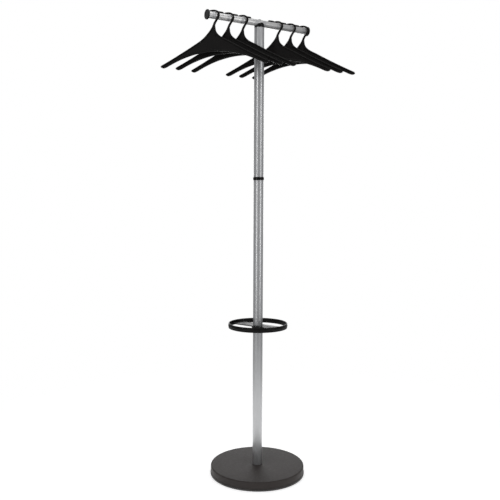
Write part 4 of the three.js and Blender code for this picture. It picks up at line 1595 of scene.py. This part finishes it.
@dataclass(frozen=True)
class Softbox:
    """A rectangular soft light that faces the stand.

    Attributes:
        name: The light's name.
        place: Its place in metres.
        width: Its width in metres.
        height: Its height in metres.
        watts: Its power.
    """

    name: str
    place: tuple[float, float, float]
    width: float
    height: float
    watts: float

    def hang(self) -> None:
        """Adds the light, aimed at the middle of the column."""
        data = bpy.data.lights.new(self.name, "AREA")
        data.shape = "RECTANGLE"
        data.size, data.size_y = self.width, self.height
        data.energy = self.watts
        light = bpy.data.objects.new(self.name, data)
        aim = Vector((0.0, 0.0, 1.0)) - Vector(self.place)
        light.matrix_world = Matrix.Translation(self.place) @ aim.to_track_quat("-Z", "Y").to_matrix().to_4x4()
        bpy.context.scene.collection.objects.link(light)


@dataclass
class Studio:
    """Floor, soft lights, white surroundings and the camera.

    Attributes:
        camera_place: The camera's place in metres.
        camera_azimuth_deg: Its direction, turned about Z from +Y.
        camera_pitch_deg: How far it looks down.
        camera_roll_deg: Its roll.
        lens_mm: Focal length on a 36 mm sensor.
        floor_radius: Radius of the floor in metres.
        fade_start: Distance from the column where the floor starts to fade.
        fade_end: Distance where it has faded.
        floor_glow: Glow of the floor as it is seen.
        floor_mirrored: Its glow in a gloss.
        ambient: Strength of the surroundings' light.
        mirrored: Their strength in a gloss.
        softboxes: The soft lights.
    """

    camera_place: tuple[float, float, float] = (-1.383, -2.185, 1.0715)
    camera_azimuth_deg: float = -31.62
    camera_pitch_deg: float = 3.95
    camera_roll_deg: float = 0.235
    lens_mm: float = 47.64
    floor_radius: float = 3.2
    fade_start: float = 0.25
    fade_end: float = 1.92
    floor_glow: float = 0.62
    floor_mirrored: float = 1.1
    ambient: float = 0.3
    mirrored: float = 0.5
    softboxes: tuple[Softbox, ...] = (
        Softbox("left_softbox", (-2.9, -0.9, 1.5), 0.55, 2.6, 21.0),
        Softbox("right_softbox", (1.1, -3.0, 1.5), 0.55, 2.6, 21.0),
        Softbox("top_softbox", (-0.3, -0.6, 3.6), 2.2, 2.2, 34.0),
        Softbox("back_softbox", (1.9, 3.0, 1.5), 2.6, 1.2, 30.0),
    )

    def build(self) -> None:
        """Sets up the camera, the surroundings, the floor and the lights."""
        self.add_camera()
        self.add_surroundings()
        self.add_floor()
        for softbox in self.softboxes:
            softbox.hang()
        bpy.context.scene.view_settings.view_transform = "Standard"

    def add_camera(self) -> None:
        """Adds the camera and makes it the scene's own."""
        data = bpy.data.cameras.new("camera")
        data.lens = self.lens_mm
        data.sensor_width = 36.0
        data.clip_end = 50.0
        camera = bpy.data.objects.new("camera", data)
        turn = Matrix.Rotation(math.radians(self.camera_azimuth_deg), 4, "Z")
        tilt = Matrix.Rotation(math.radians(90 - self.camera_pitch_deg), 4, "X")
        roll = Matrix.Rotation(math.radians(self.camera_roll_deg), 4, "Z")
        camera.matrix_world = Matrix.Translation(self.camera_place) @ turn @ tilt @ roll
        bpy.context.scene.collection.objects.link(camera)
        bpy.context.scene.camera = camera

    def add_surroundings(self) -> None:
        """Adds the white surroundings, which show brighter than they light."""
        world = bpy.data.worlds.new("studio")
        world.use_nodes = True
        tree = world.node_tree
        tree.nodes.clear()
        rays = add_node(tree, "LightPath").outputs
        strengths = {"Value": rays["Is Glossy Ray"], "To Min": self.ambient, "To Max": self.mirrored}
        strength = add_node(tree, "MapRange", strengths)
        lit = add_node(tree, "Background", {"Color": linear("#F4F4F6"), "Strength": strength})
        seen = add_node(tree, "Background", {"Color": linear("#FFFFFF"), "Strength": 1.0})
        mix = add_node(tree, "MixShader", {0: rays["Is Camera Ray"], 1: lit, 2: seen})
        add_node(tree, "OutputWorld", {"Surface": mix})
        bpy.context.scene.world = world

    def add_floor(self) -> None:
        """Adds a pale round floor that fades into the surroundings."""
        bm = bmesh.new()
        bmesh.ops.create_circle(bm, cap_ends=True, radius=self.floor_radius, segments=96)
        mesh = to_mesh(bm, "floor")
        material = bpy.data.materials.new("pale_floor")
        material.use_nodes = True
        tree = material.node_tree
        tree.nodes.clear()
        where = add_node(tree, "TexCoord").outputs["Object"]
        distance = add_node(tree, "VectorMath", {0: where}, operation="LENGTH").outputs["Value"]
        run = {"Value": distance, "From Min": self.fade_start, "From Max": self.fade_end}
        fade = add_node(tree, "MapRange", run, interpolation_type="SMOOTHERSTEP")
        # The sweep shows and mirrors paler than it lights, so it stays white without washing out the base's wall.
        rays = add_node(tree, "LightPath").outputs
        in_gloss = {0: rays["Is Glossy Ray"], 1: self.floor_mirrored}
        mirrored = add_node(tree, "Math", in_gloss, operation="MULTIPLY")
        in_view = {0: rays["Is Camera Ray"], 1: self.floor_glow, 2: mirrored}
        glow = add_node(tree, "Math", in_view, operation="MULTIPLY_ADD")
        paint = add_node(tree, "BsdfPrincipled", {"Base Color": linear("#D8D8D8"), "Roughness": 0.8,
                                                  "Emission Color": linear("#FFFFFF"), "Emission Strength": glow})
        clear = add_node(tree, "BsdfTransparent")
        mix = add_node(tree, "MixShader", {0: fade, 1: paint, 2: clear})
        add_node(tree, "OutputMaterial", {"Surface": mix})
        mesh.materials.append(material)
        floor = bpy.data.objects.new("floor", mesh)
        bpy.context.scene.collection.objects.link(floor)


def main() -> None:
    """Builds the whole scene."""
    logging.basicConfig(level=logging.INFO, format="%(message)s")
    Studio().build()
    WeightedBase().build()
    Column().build()
    Crossbar().build()
    for number in range(1, 7):
        Hanger(number, HANGER_YAW_DEG + TURNED_FURTHER_DEG.get(number, 0.0)).build()
    UmbrellaHolder().build()


if __name__ == "__main__":
    main()
